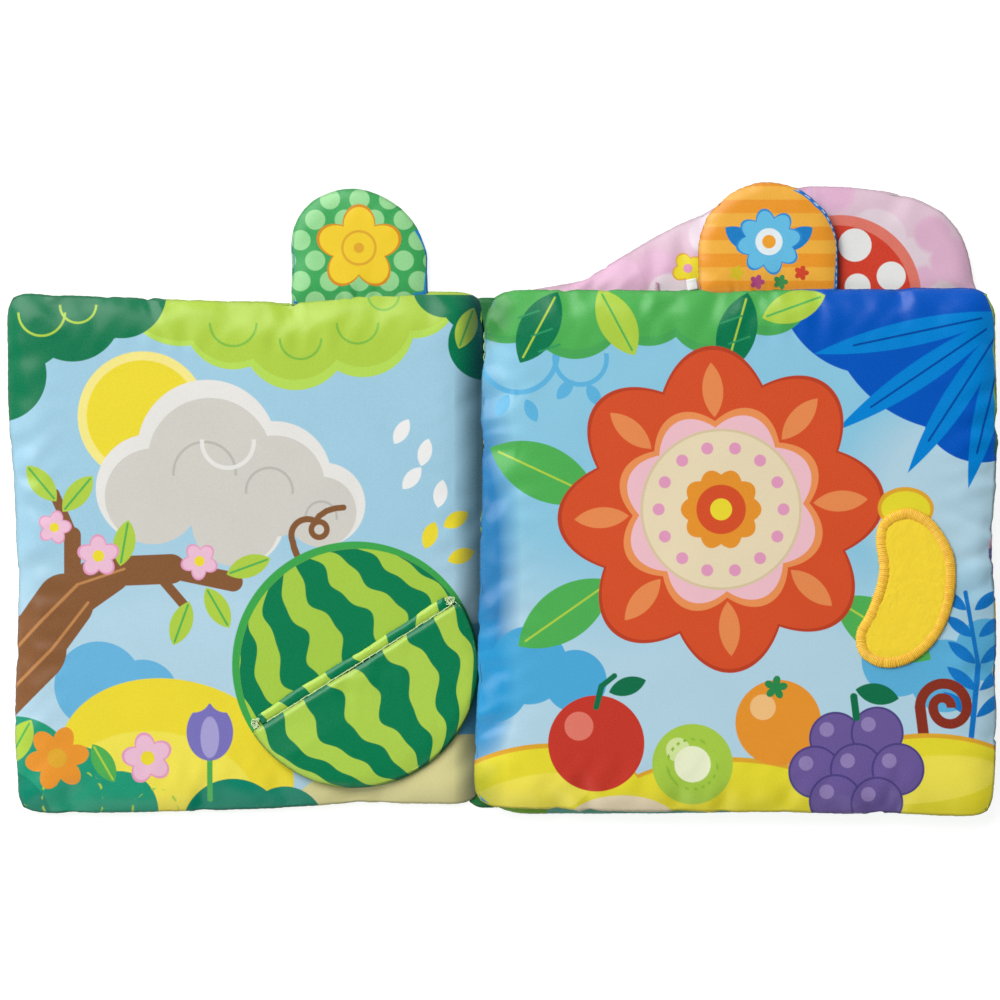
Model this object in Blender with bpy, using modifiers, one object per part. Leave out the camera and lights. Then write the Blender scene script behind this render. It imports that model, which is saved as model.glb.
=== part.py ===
"""Crinkle cloth book, in metres, +Z up.

Three padded fabric leaves are sewn to one spine. The book lies open on a table: the front
leaf is on the left (-X), the middle leaf and the back leaf are stacked on the right (+X),
and the tops of the pages point to +Y. The origin is on the table, under the gutter and
halfway up the pages. Each leaf is a turned pillow of two fabrics with batting and a sheet
of crinkle film inside. The front leaf carries a tab and a round lift flap, the middle leaf
a tab and a stitched-on patch, and the back leaf rises above the pages in a soft hill.
"""

import math

import bmesh
import bpy
from mathutils import Matrix, Vector

# Leaves
LEAF_HEIGHT = 0.2010
FRONT_LEAF_WIDTH = 0.1850
MIDDLE_LEAF_WIDTH = 0.1952
BACK_LEAF_WIDTH = 0.1964
LEAF_THICKNESS = 0.0060
CROWN = 0.0005
DOME_SHARE = 0.15
SEAM_HALF_HEIGHT = 0.0007
LEAF_CORNER_RADIUS = 0.0080
DRAWN_IN = 0.0008
EDGE_ROLL = 0.0120
EDGE_STEP = 0.0030
GUTTER_ROLL = 0.0240
GUTTER_STEP = 0.0080
INNER_STEP = 0.0130
FABRIC_THICKNESS = 0.0005
CLEARANCE = 0.0003

# Filling of a leaf
FILM_THICKNESS = 0.0002
FILLING_INSET = 0.0170
FILLING_GUTTER_INSET = 0.0260
FILLING_CORNER_RADIUS = 0.0120
BATTING_STEP_BACK = 0.0006

# Hill of the back leaf
HILL_HEIGHT = 0.0408
HILL_COLUMN_SHARES = (
    0.0, 0.041, 0.122, 0.219, 0.331, 0.453, 0.586, 0.718, 0.825, 0.899, 0.942, 0.965, 1.0,
)
HILL_RISE_SHARES = (
    0.0, -0.006, 0.022, 0.185, 0.522, 0.820, 1.016, 0.976, 0.902, 0.748, 0.409, -0.10, 0.0,
)
HILL_TACK_X = 0.0651
HILL_TACK_LENGTH = 0.0042
HILL_TACK_OVERLAP = 0.0012

# Spine
SPINE_TAPE_WIDTH = 0.0170
SPINE_TAPE_CORNER_RADIUS = 0.0060
SPINE_END_MARGIN = 0.0015
BINDING_THICKNESS = 0.0014
BINDING_END_MARGIN = 0.0100
BINDING_FOLD_RADIUS = 0.0005
GUTTER_STITCH_PITCH = 0.0050
GUTTER_STITCH_SWING = 0.0006
GUTTER_STITCH_DROP = 0.0020

# Tabs
TAB_THICKNESS = 0.0030
TAB_TOP_RADIUS = 0.0258
TAB_BASE_RADIUS = 0.0020
TAB_ROLL = 0.0070
TAB_STEP = 0.0020
TAB_INNER_STEP = 0.0080
TAB_SEAM_HALF_HEIGHT = 0.0005
TAB_HINGE_OFFSET = 0.0005
TAB_TUCK = 0.0002
TAB_FILM_INSET = 0.0075
LEFT_TAB_X = -0.0495
LEFT_TAB_WIDTH = 0.0520
LEFT_TAB_HEIGHT = 0.0396
RIGHT_TAB_X = 0.1082
RIGHT_TAB_WIDTH = 0.0536
RIGHT_TAB_HEIGHT = 0.0416

# Ribbon end in the top seam of the middle leaf
RIBBON_X = 0.0786
RIBBON_WIDTH = 0.0032
RIBBON_LENGTH = 0.0038
RIBBON_THICKNESS = 0.0005
RIBBON_CORNER_RADIUS = 0.0003
RIBBON_LEAN = math.radians(-14.0)

# Lift flap
FLAP_RADIUS = 0.0470
FLAP_X = -0.0508
FLAP_Y = -0.0440
FLAP_ANGLE = math.radians(32.2)
FLAP_THICKNESS = 0.0018
FLAP_HINGE_GAP = 0.0006
FLAP_FILM_INSET = 0.0070
FLAP_RING_SHARES = (0.0, 0.3, 0.62, 0.86, 1.0)
FLAP_RISE_SHARES = (1.0, 0.97, 0.80, 0.45, 0.0)
FLAP_STEPS = 12
HEM_WIDTH = 0.0034
HEM_LENGTH = 0.0840
HEM_THICKNESS = 0.0010
HEM_ROUNDING = 0.0004

# Threads
THREAD_RADIUS = 0.00025
STITCH_PITCH = 0.0031
STITCH_DIP = 0.00012
TACK_TURNS = 5
TACK_SWING = 0.0009
TACK_GAP = 0.0014

# Fruit patch
PATCH_EDGE_MARGIN = 0.0159
PATCH_Y = -0.0146
PATCH_WIDTH = 0.0388
PATCH_HEIGHT = 0.0606
PATCH_OUTLINE_SHARES = (
    (-0.01, 0.50), (0.30, 0.40), (0.47, 0.21), (0.50, -0.01), (0.39, -0.24), (0.14, -0.42),
    (-0.18, -0.50), (-0.44, -0.42), (-0.49, -0.26), (-0.345, -0.065), (-0.26, 0.125),
    (-0.29, 0.33), (-0.20, 0.445),
)
PATCH_KNOT_STEPS = 3
PATCH_THICKNESS = 0.0007
PATCH_BORDER_WIDTH = 0.0036
PATCH_BORDER_THICKNESS = 0.0012
PATCH_BORDER_ROUNDING = 0.0004

# Levels worked out from the sizes above
PAGE_TOP = LEAF_HEIGHT / 2
HALF_LEAF = LEAF_THICKNESS / 2
LOWER_LEVEL = HALF_LEAF
MIDDLE_LEVEL = LEAF_THICKNESS + CLEARANCE + HALF_LEAF
GUTTER_X = BINDING_THICKNESS / 2 + CLEARANCE
PATCH_X = GUTTER_X + MIDDLE_LEAF_WIDTH - PATCH_EDGE_MARGIN - PATCH_WIDTH / 2
FRONT_TOP = LOWER_LEVEL + HALF_LEAF + CROWN
MIDDLE_TOP = MIDDLE_LEVEL + HALF_LEAF + CROWN
FLAP_LOW = FRONT_TOP + CLEARANCE
FLAP_TOP = FLAP_LOW + FLAP_THICKNESS
HEM_TOP = FLAP_LOW + HEM_THICKNESS
FLAP_HINGE_LEVEL = (FLAP_TOP + HEM_TOP + CLEARANCE) / 2
FLAP_FOLDED_TOP = 2 * FLAP_HINGE_LEVEL - FLAP_LOW
SPINE_AXIS_LEVEL = (FLAP_FOLDED_TOP + CLEARANCE + MIDDLE_TOP) / 2
TAB_AXIS_Y = PAGE_TOP + TAB_HINGE_OFFSET
BINDING_LOW = FABRIC_THICKNESS + CLEARANCE
BINDING_TOP = MIDDLE_LEVEL - SEAM_HALF_HEIGHT - CLEARANCE

ARC_POINTS = 4
COLLECTION = bpy.data.collections.new("crinkle_cloth_book")


def clear_scene():
    for item in list(bpy.data.objects):
        bpy.data.objects.remove(item, do_unlink=True)
    bpy.context.scene.collection.children.link(COLLECTION)


def fabric(name, colour, roughness=0.85):
    """A plain cloth, film or thread finish for one piece."""
    finish = bpy.data.materials.new(name)
    finish.use_nodes = True
    shader = finish.node_tree.nodes["Principled BSDF"]
    shader.inputs["Base Color"].default_value = (*colour, 1.0)
    shader.inputs["Roughness"].default_value = roughness
    shader.inputs["Metallic"].default_value = 0.0
    return finish


def hinge(name, place, parent=None, turn=0.0):
    """An empty on a joint's axis, which carries the pieces that turn with it."""
    empty = bpy.data.objects.new(name, None)
    COLLECTION.objects.link(empty)
    base = hinge_place(parent)
    empty.parent = parent
    empty.location = Vector(place) - base
    empty.rotation_euler = (0.0, 0.0, turn)
    empty["place"] = tuple(place)
    return empty


def hinge_place(empty):
    return Vector(empty["place"]) if empty else Vector((0.0, 0.0, 0.0))


def add(name, data, colour, carrier=None, local=False, roughness=0.85):
    """Link a piece. Its data is in book coordinates unless local says it is in the hinge's own."""
    piece = bpy.data.objects.new(name, data)
    COLLECTION.objects.link(piece)
    data.materials.append(fabric(name, colour, roughness))
    if carrier:
        piece.parent = carrier
        if not local:
            data.transform(Matrix.Translation(-hinge_place(carrier)))
    return piece


def smooth(mesh):
    mesh.shade_smooth()
    return mesh


def roll(distance, width):
    """How far a pillow has swelled at a distance from its seam: 0 at the seam, 1 past the roll."""
    return 1.0 - (1.0 - min(distance / width, 1.0)) ** 2


def round_corner(x, y, corner, radius, side_x, side_y):
    """Pull a point near a square corner in, so that the cage's rings turn round it in an arc."""
    centre_x = corner[0] - side_x * radius
    centre_y = corner[1] - side_y * radius
    across = (x - centre_x) * side_x
    along = (y - centre_y) * side_y
    if across <= 0.0 or along <= 0.0:
        return x, y
    scale = max(across, along) / math.hypot(across, along)
    return centre_x + side_x * across * scale, centre_y + side_y * along * scale


class Pillow:
    """The shape of one padded leaf or tab: its outline and its thickness at each cage point."""

    def __init__(self, x_low, x_high, y_low, y_high, level, half, seam,
                 x_rolls, x_steps, y_roll, y_step, inner, radii, columns=None, rises=None, drawn=0.0):
        self.x_low = x_low
        self.x_high = x_high
        self.y_low = y_low
        self.y_high = y_high
        self.level = level
        self.half = half
        self.seam = seam
        self.x_rolls = x_rolls
        self.x_steps = x_steps
        self.y_roll = y_roll
        self.y_step = y_step
        self.inner = inner
        self.radii = radii
        self.drawn = drawn
        self.columns = columns or self.plain_columns()
        self.rises = rises or [0.0] * len(self.columns)

    def plain_columns(self):
        """Cage columns: the seam, two for the roll and an inner one at each side."""
        low = self.x_low + self.x_rolls[0]
        high = self.x_high - self.x_rolls[1]
        return [self.x_low, self.x_low + self.x_steps[0], low, low + self.inner,
                high - self.inner, high, self.x_high - self.x_steps[1], self.x_high]

    def rows(self, top):
        """Cage rows of a column that ends at top, each with its distance from both seams."""
        low = self.y_low + self.y_roll
        high = top - self.y_roll
        places = [self.y_low, self.y_low + self.y_step, low, low + self.inner,
                  high - self.inner, high, top - self.y_step, top]
        return [(y, y - self.y_low, top - y) for y in places]

    def swell(self, x, low_gap, high_gap):
        """Share of the full half thickness at a cage point."""
        share = roll(x - self.x_low, self.x_rolls[0]) * roll(self.x_high - x, self.x_rolls[1])
        share *= roll(low_gap, self.y_roll) * roll(high_gap, self.y_roll)
        u = 2 * (x - self.x_low) / (self.x_high - self.x_low) - 1
        v = (low_gap - high_gap) / (low_gap + high_gap)
        return share * (1 - DOME_SHARE * (u * u + v * v) / 2)

    def points(self, side, crown, flat):
        """Cage points, column by column. Side is 1 for the face and -1 for the back."""
        grid = []
        middle_y = (self.y_low + self.y_high) / 2
        for x, rise in zip(self.columns, self.rises):
            column = []
            u = 2 * (x - self.x_low) / (self.x_high - self.x_low) - 1
            for y, low_gap, high_gap in self.rows(self.y_high + rise):
                height = self.seam + (self.half + crown - self.seam) * self.swell(x, low_gap, high_gap)
                if flat:
                    height = min(height, self.half)
                v = min(max((y - middle_y) / (self.y_high - middle_y), -1.0), 1.0)
                place_x, place_y = self.rounded(x, y, self.y_high + rise)
                place_y -= self.drawn * (1 - u * u) * v
                column.append(Vector((place_x, place_y, self.level + side * height)))
            grid.append(column)
        return grid

    def rounded(self, x, y, top):
        """The cage point after the four corners of the outline are rounded."""
        base_radius, top_radius = self.radii
        x, y = round_corner(x, y, (self.x_low, self.y_low), base_radius, -1, -1)
        x, y = round_corner(x, y, (self.x_high, self.y_low), base_radius, 1, -1)
        x, y = round_corner(x, y, (self.x_low, self.y_high), top_radius, -1, 1)
        x, y = round_corner(x, y, (self.x_high, self.y_high), top_radius, 1, 1)
        return x, y


def pillow_side(name, pillow, side, colour, carrier, crown=CROWN, flat=True):
    """One fabric of a pillow: an open cage, made soft by subdivision, with the cloth's thickness."""
    grid = pillow.points(side, crown, flat)
    columns = len(grid)
    rows = len(grid[0])
    shape = bmesh.new()
    bmesh.ops.create_grid(shape, x_segments=columns - 1, y_segments=rows - 1, size=1.0)
    for point in shape.verts:
        i = round((point.co.x + 1) / 2 * (columns - 1))
        j = round((point.co.y + 1) / 2 * (rows - 1))
        point.co = grid[i][j]
    if side < 0:
        bmesh.ops.reverse_faces(shape, faces=shape.faces)
    mesh = bpy.data.meshes.new(name)
    shape.to_mesh(mesh)
    shape.free()
    piece = add(name, smooth(mesh), colour, carrier)
    soft = piece.modifiers.new("soft", "SUBSURF")
    soft.levels = 1
    soft.render_levels = 1
    cloth = piece.modifiers.new("cloth", "SOLIDIFY")
    cloth.thickness = FABRIC_THICKNESS
    cloth.offset = -1.0
    return piece


def arc(centre_x, centre_y, radius, start_turns):
    """Points of a quarter circle, anticlockwise, from a start given in quarter turns."""
    for step in range(ARC_POINTS):
        angle = (start_turns + step / (ARC_POINTS - 1)) * math.pi / 2
        yield centre_x + radius * math.cos(angle), centre_y + radius * math.sin(angle)


def rounded_rectangle(x_low, x_high, y_low, y_high, radius, top_radius=None, crest=()):
    """Outline points, anticlockwise from the lower right. A crest's points go between the top corners."""
    top_radius = radius if top_radius is None else top_radius
    outline = list(arc(x_high - radius, y_low + radius, radius, 3))
    outline += arc(x_high - top_radius, y_high - top_radius, top_radius, 0)
    outline += crest
    outline += arc(x_low + top_radius, y_high - top_radius, top_radius, 1)
    outline += arc(x_low + radius, y_low + radius, radius, 2)
    return outline


def flat_sheet(name, outline, low, thickness, colour, carrier, local=False, rounding=0.0, hole=None):
    """A flat piece with an even thickness, from its outline and perhaps a hole."""
    curve = bpy.data.curves.new(name, "CURVE")
    curve.dimensions = "2D"
    curve.fill_mode = "BOTH"
    curve.extrude = thickness / 2 - rounding
    curve.bevel_depth = rounding
    curve.bevel_resolution = 0
    curve.offset = -rounding
    for ring in (outline, hole):
        if ring:
            spline = curve.splines.new("POLY")
            spline.points.add(len(ring) - 1)
            for point, (x, y) in zip(spline.points, ring):
                point.co = (x, y, 0.0, 1.0)
            spline.use_cyclic_u = True
    piece = add(name, curve, colour, carrier, local=True)
    base = Vector((0.0, 0.0, 0.0)) if local else hinge_place(carrier)
    piece.location = Vector((0.0, 0.0, low + thickness / 2)) - base
    return piece


def thread(name, points, colour, carrier, local=False):
    """A length of sewing thread along the given points."""
    curve = bpy.data.curves.new(name, "CURVE")
    curve.dimensions = "3D"
    curve.bevel_depth = THREAD_RADIUS
    curve.bevel_resolution = 0
    curve.use_fill_caps = True
    spline = curve.splines.new("POLY")
    spline.points.add(len(points) - 1)
    for point, place in zip(spline.points, points):
        point.co = (*place, 1.0)
    return add(name, curve, colour, carrier, local, roughness=0.6)


def leaf(side, width, level, columns=None, rises=None):
    """A leaf's pillow. Side is -1 for the left leaf and 1 for a right one."""
    near, far = GUTTER_X, GUTTER_X + width
    x_low, x_high = (near, far) if side > 0 else (-far, -near)
    rolls = (GUTTER_ROLL, EDGE_ROLL) if side > 0 else (EDGE_ROLL, GUTTER_ROLL)
    steps = (GUTTER_STEP, EDGE_STEP) if side > 0 else (EDGE_STEP, GUTTER_STEP)
    return Pillow(x_low, x_high, -PAGE_TOP, PAGE_TOP, level, HALF_LEAF, SEAM_HALF_HEIGHT,
                  rolls, steps, EDGE_ROLL, EDGE_STEP, INNER_STEP,
                  (LEAF_CORNER_RADIUS, LEAF_CORNER_RADIUS), columns, rises, DRAWN_IN)


def filling(name, pillow, side, carrier, crest=()):
    """The batting and, over it, the crinkle film of a leaf."""
    near, far = FILLING_GUTTER_INSET, FILLING_INSET
    low_inset, high_inset = (near, far) if side > 0 else (far, near)
    outline = rounded_rectangle(
        pillow.x_low + low_inset, pillow.x_high - high_inset,
        pillow.y_low + FILLING_INSET, pillow.y_high - FILLING_INSET,
        FILLING_CORNER_RADIUS, crest=crest)
    film_top = pillow.level + HALF_LEAF - FABRIC_THICKNESS - BATTING_STEP_BACK
    film_low = film_top - FILM_THICKNESS
    batting_low = pillow.level - HALF_LEAF + FABRIC_THICKNESS + CLEARANCE
    batting_top = film_low - CLEARANCE
    flat_sheet(name + "_batting", outline, batting_low, batting_top - batting_low,
               (0.93, 0.93, 0.90), carrier)
    flat_sheet(name + "_crinkle_film", outline, film_low, FILM_THICKNESS,
               (0.85, 0.88, 0.90), carrier)


def front_leaf(carrier):
    pillow = leaf(-1, FRONT_LEAF_WIDTH, LOWER_LEVEL)
    pillow_side("front_leaf_face", pillow, 1, (0.42, 0.68, 0.30), carrier, flat=False)
    pillow_side("front_leaf_back", pillow, -1, (0.10, 0.45, 0.25), carrier)
    filling("front_leaf", pillow, -1, carrier)


def middle_leaf(carrier):
    pillow = leaf(1, MIDDLE_LEAF_WIDTH, MIDDLE_LEVEL)
    pillow_side("middle_leaf_face", pillow, 1, (0.28, 0.55, 0.78), carrier, flat=False)
    pillow_side("middle_leaf_back", pillow, -1, (0.90, 0.70, 0.25), carrier)
    filling("middle_leaf", pillow, 1, carrier)


def hill_crest(columns, rises):
    """Outline points of the filling inside the hill, from right to left."""
    low_edge = columns[0] + FILLING_GUTTER_INSET + FILLING_CORNER_RADIUS
    high_edge = columns[-1] - FILLING_INSET - FILLING_CORNER_RADIUS
    inner = [(x, PAGE_TOP - FILLING_INSET + rise)
             for x, rise in zip(columns, rises) if low_edge < x < high_edge and rise > 0.0]
    return list(reversed(inner))


def back_leaf():
    columns = [GUTTER_X + share * BACK_LEAF_WIDTH for share in HILL_COLUMN_SHARES]
    rises = [share * HILL_HEIGHT for share in HILL_RISE_SHARES]
    pillow = leaf(1, BACK_LEAF_WIDTH, LOWER_LEVEL, columns, rises)
    pillow_side("back_leaf_face", pillow, 1, (0.86, 0.60, 0.74), None)
    pillow_side("back_leaf_back", pillow, -1, (0.30, 0.62, 0.25), None)
    filling("back_leaf", pillow, 1, None, hill_crest(columns, rises))
    tack_low = PAGE_TOP - HILL_TACK_OVERLAP
    level = LOWER_LEVEL + HALF_LEAF + CLEARANCE + THREAD_RADIUS
    steps = 2 * TACK_TURNS
    points = [(HILL_TACK_X + TACK_SWING * (step % 2), tack_low + HILL_TACK_LENGTH * step / steps, level)
              for step in range(steps + 1)]
    thread("hill_bar_tack", points, (0.80, 0.35, 0.50), None)


def spine():
    half_tape = SPINE_TAPE_WIDTH / 2
    tape_end = PAGE_TOP - SPINE_END_MARGIN
    outline = rounded_rectangle(-half_tape, half_tape, -tape_end, tape_end, SPINE_TAPE_CORNER_RADIUS)
    flat_sheet("spine_tape", outline, 0.0, FABRIC_THICKNESS, (0.45, 0.66, 0.10), None)
    gutter_binding()
    gutter_stitching()


def gutter_binding():
    """A folded strip that stands on the tape between the leaves, with a soft fold along its top."""
    length = LEAF_HEIGHT - 2 * BINDING_END_MARGIN
    shape = bmesh.new()
    bmesh.ops.create_cube(shape, size=1.0)
    size = Vector((BINDING_THICKNESS, length, BINDING_TOP - BINDING_LOW))
    bmesh.ops.scale(shape, vec=size, verts=shape.verts)
    bmesh.ops.translate(shape, vec=(0.0, 0.0, (BINDING_TOP + BINDING_LOW) / 2), verts=shape.verts)
    mesh = bpy.data.meshes.new("gutter_binding")
    shape.to_mesh(mesh)
    shape.free()
    piece = add("gutter_binding", mesh, (0.16, 0.40, 0.16))
    fold = piece.modifiers.new("fold", "BEVEL")
    fold.width = BINDING_FOLD_RADIUS
    fold.segments = 2
    return piece


def gutter_stitching():
    """Zigzag thread along the front leaf's side of the binding."""
    x = -BINDING_THICKNESS / 2 - CLEARANCE - THREAD_RADIUS
    run = LEAF_HEIGHT / 2 - BINDING_END_MARGIN - GUTTER_STITCH_PITCH
    count = round(2 * run / GUTTER_STITCH_PITCH)
    level = BINDING_TOP - GUTTER_STITCH_DROP
    points = []
    for step in range(count + 1):
        swing = GUTTER_STITCH_SWING if step % 2 else -GUTTER_STITCH_SWING
        points.append((x, -run + 2 * run * step / count, level + swing))
    thread("gutter_stitching", points, (0.55, 0.75, 0.40), None)


def tab(name, centre_x, width, height, level, carrier, face_colour, back_colour):
    """A padded tab: a tall arch with its own two fabrics and a film."""
    base = TAB_AXIS_Y - TAB_TUCK
    pillow = Pillow(centre_x - width / 2, centre_x + width / 2, base, base + height, level,
                    TAB_THICKNESS / 2, TAB_SEAM_HALF_HEIGHT, (TAB_ROLL, TAB_ROLL),
                    (TAB_STEP, TAB_STEP), TAB_ROLL, TAB_STEP, TAB_INNER_STEP,
                    (TAB_BASE_RADIUS, TAB_TOP_RADIUS))
    pillow_side(name + "_face", pillow, 1, face_colour, carrier, crown=0.0)
    pillow_side(name + "_back", pillow, -1, back_colour, carrier, crown=0.0)
    outline = rounded_rectangle(
        pillow.x_low + TAB_FILM_INSET, pillow.x_high - TAB_FILM_INSET,
        pillow.y_low + TAB_FILM_INSET, pillow.y_high - TAB_FILM_INSET,
        TAB_BASE_RADIUS, TAB_TOP_RADIUS - TAB_FILM_INSET)
    outline = [(x - centre_x, y - TAB_AXIS_Y) for x, y in outline]
    film = flat_sheet(name + "_film", outline, -FILM_THICKNESS / 2, FILM_THICKNESS,
                      (0.85, 0.88, 0.90), carrier, local=True)
    return film


def seam_ribbon(carrier):
    """The end of a white ribbon that stands out of the middle leaf's top seam, leaning a little."""
    low = PAGE_TOP + CLEARANCE
    outline = rounded_rectangle(-RIBBON_WIDTH / 2, RIBBON_WIDTH / 2, 0.0, RIBBON_LENGTH,
                                RIBBON_CORNER_RADIUS)
    piece = flat_sheet("seam_ribbon", outline, MIDDLE_LEVEL - RIBBON_THICKNESS / 2, RIBBON_THICKNESS,
                       (0.88, 0.90, 0.88), carrier)
    piece.location += Vector((RIBBON_X, low, 0.0))
    piece.rotation_euler = (0.0, 0.0, RIBBON_LEAN)
    return piece


def half_disc(radius):
    """Outline of the flap's half disc, in the flap's own axes: it lies past the hinge, towards -Y."""
    points = []
    for step in range(FLAP_STEPS + 1):
        angle = -math.pi * step / FLAP_STEPS
        points.append((radius * math.cos(angle), -FLAP_HINGE_GAP + radius * math.sin(angle)))
    return list(reversed(points))


def flap_face(carrier):
    """The crowned face of the flap: a radial profile spun through half a turn."""
    rim = FLAP_LOW + 2 * FABRIC_THICKNESS + CLEARANCE
    rise = FLAP_TOP - rim
    shape = bmesh.new()
    profile = []
    for ring, height in zip(FLAP_RING_SHARES, FLAP_RISE_SHARES):
        profile.append(shape.verts.new((FLAP_RADIUS * ring, -FLAP_HINGE_GAP, rim + rise * height)))
    edges = [shape.edges.new(pair) for pair in zip(profile, profile[1:])]
    bmesh.ops.spin(shape, geom=profile + edges, cent=(0.0, -FLAP_HINGE_GAP, 0.0), axis=(0.0, 0.0, 1.0),
                   angle=-math.pi, steps=FLAP_STEPS)
    bmesh.ops.remove_doubles(shape, verts=shape.verts, dist=FABRIC_THICKNESS / 10)
    bmesh.ops.recalc_face_normals(shape, faces=shape.faces)
    if sum(face.normal.z for face in shape.faces) < 0.0:
        bmesh.ops.reverse_faces(shape, faces=shape.faces)
    bmesh.ops.translate(shape, vec=(0.0, 0.0, -FLAP_HINGE_LEVEL), verts=shape.verts)
    mesh = bpy.data.meshes.new("flap_face")
    shape.to_mesh(mesh)
    shape.free()
    piece = add("flap_face", smooth(mesh), (0.15, 0.50, 0.25), carrier, local=True)
    cloth = piece.modifiers.new("cloth", "SOLIDIFY")
    cloth.thickness = FABRIC_THICKNESS
    cloth.offset = -1.0
    return piece


def flap(carrier, leaf_carrier):
    """The lift flap, and what holds it to the front leaf: its hem, stitch line and bar tacks."""
    flap_face(carrier)
    flat_sheet("flap_back", half_disc(FLAP_RADIUS), FLAP_LOW - FLAP_HINGE_LEVEL, FABRIC_THICKNESS,
               (0.45, 0.70, 0.20), carrier, local=True)
    film_low = FLAP_LOW + FABRIC_THICKNESS + FILM_THICKNESS - FLAP_HINGE_LEVEL
    film_outline = [(x, y - FLAP_FILM_INSET / 2) for x, y in half_disc(FLAP_RADIUS - FLAP_FILM_INSET)]
    flat_sheet("flap_film", film_outline, film_low, FILM_THICKNESS, (0.85, 0.88, 0.90), carrier,
               local=True)
    turned = Matrix.Translation((FLAP_X, FLAP_Y, 0.0)) @ Matrix.Rotation(FLAP_ANGLE, 4, "Z")
    flap_hem(leaf_carrier, turned)
    flap_threads(leaf_carrier, turned)


def flap_hem(carrier, turned):
    """The folded straight edge that stays on the page, just behind the hinge line."""
    shape = bmesh.new()
    bmesh.ops.create_cube(shape, size=1.0)
    bmesh.ops.scale(shape, vec=(HEM_LENGTH, HEM_WIDTH, HEM_THICKNESS), verts=shape.verts)
    middle = (0.0, FLAP_HINGE_GAP + HEM_WIDTH / 2, FLAP_LOW + HEM_THICKNESS / 2)
    bmesh.ops.translate(shape, vec=middle, verts=shape.verts)
    mesh = bpy.data.meshes.new("flap_hem")
    shape.to_mesh(mesh)
    shape.free()
    mesh.transform(turned)
    piece = add("flap_hem", mesh, (0.30, 0.62, 0.20), carrier)
    edge = piece.modifiers.new("edge", "BEVEL")
    edge.width = HEM_ROUNDING
    edge.segments = 2


def flap_threads(carrier, turned):
    """The stitch line along the hinge, and a bar tack at each end of the hem."""
    level = FLAP_LOW + THREAD_RADIUS
    stitches = round(HEM_LENGTH / STITCH_PITCH)
    line = []
    for step in range(2 * stitches + 1):
        x = -HEM_LENGTH / 2 + HEM_LENGTH * step / (2 * stitches)
        line.append(Vector((x, 0.0, level + (STITCH_DIP if step % 2 else 0.0))))
    thread("flap_stitching", [turned @ place for place in line], (0.55, 0.80, 0.45), carrier)
    steps = 2 * TACK_TURNS
    for name, side in (("flap_tack_lower", -1), ("flap_tack_upper", 1)):
        start = side * (HEM_LENGTH / 2 + TACK_GAP)
        points = []
        for step in range(steps + 1):
            y = FLAP_HINGE_GAP + HEM_WIDTH * step / steps
            x = start + side * TACK_SWING * (step % 2)
            points.append(turned @ Vector((x, y, level)))
        thread(name, points, (0.85, 0.95, 0.80), carrier)


def patch_outline(inset):
    """Points round the patch, at an even inset, from a closed curve through its named points."""
    knots = [Vector((PATCH_WIDTH * x, PATCH_HEIGHT * y)) for x, y in PATCH_OUTLINE_SHARES]
    count = len(knots)
    points = []
    for i in range(count):
        before, start, end, after = (knots[(i + k) % count] for k in (-1, 0, 1, 2))
        for step in range(PATCH_KNOT_STEPS):
            t = step / PATCH_KNOT_STEPS
            place = 0.5 * (2 * start + (end - before) * t
                           + (2 * before - 5 * start + 4 * end - after) * t * t
                           + (3 * start - before - 3 * end + after) * t ** 3)
            points.append(place)
    outline = []
    for i, place in enumerate(points):
        run = (points[(i + 1) % len(points)] - points[i - 1]).normalized()
        inward = Vector((run.y, -run.x))
        outline.append((PATCH_X + place.x + inward.x * inset, PATCH_Y + place.y + inward.y * inset))
    return outline


def patch(carrier):
    """The patch and the satin-stitched border that holds it to the page."""
    low = MIDDLE_TOP + CLEARANCE
    flat_sheet("fruit_patch", patch_outline(PATCH_BORDER_WIDTH + CLEARANCE), low, PATCH_THICKNESS,
               (0.94, 0.72, 0.06), carrier)
    flat_sheet("fruit_patch_border", patch_outline(0.0), low, PATCH_BORDER_THICKNESS,
               (0.85, 0.52, 0.03), carrier, rounding=PATCH_BORDER_ROUNDING,
               hole=patch_outline(PATCH_BORDER_WIDTH))


def build():
    clear_scene()
    axis = (0.0, 0.0, SPINE_AXIS_LEVEL)
    front_hinge = hinge("front_leaf_hinge", axis)
    middle_hinge = hinge("middle_leaf_hinge", axis)
    left_tab_hinge = hinge("left_tab_hinge", (LEFT_TAB_X, TAB_AXIS_Y, LOWER_LEVEL), front_hinge)
    right_tab_hinge = hinge("right_tab_hinge", (RIGHT_TAB_X, TAB_AXIS_Y, MIDDLE_LEVEL), middle_hinge)
    flap_hinge = hinge("flap_hinge", (FLAP_X, FLAP_Y, FLAP_HINGE_LEVEL), front_hinge, FLAP_ANGLE)
    back_leaf()
    spine()
    front_leaf(front_hinge)
    middle_leaf(middle_hinge)
    tab("left_tab", LEFT_TAB_X, LEFT_TAB_WIDTH, LEFT_TAB_HEIGHT, LOWER_LEVEL, left_tab_hinge,
        (0.10, 0.42, 0.15), (0.10, 0.45, 0.75))
    tab("right_tab", RIGHT_TAB_X, RIGHT_TAB_WIDTH, RIGHT_TAB_HEIGHT, MIDDLE_LEVEL, right_tab_hinge,
        (0.85, 0.42, 0.06), (0.05, 0.25, 0.70))
    seam_ribbon(middle_hinge)
    flap(flap_hinge, front_hinge)
    patch(middle_hinge)


build()
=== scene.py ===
# %% [markdown]
# # A cloth book that crinkles
# The book lies open on its back. Three padded leaves meet at one gutter, each leaf is two
# printed cloths sewn edge to edge around wadding and a thin rustling film. This lesson dresses
# the plain solids of the part: every cloth is made again as cloth, and every print is drawn
# with shader maths, so no picture file is needed.

# %% Open the frame
import functools
import math
import random

import bpy
import bmesh
import numpy as np
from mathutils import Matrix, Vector, noise


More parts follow.
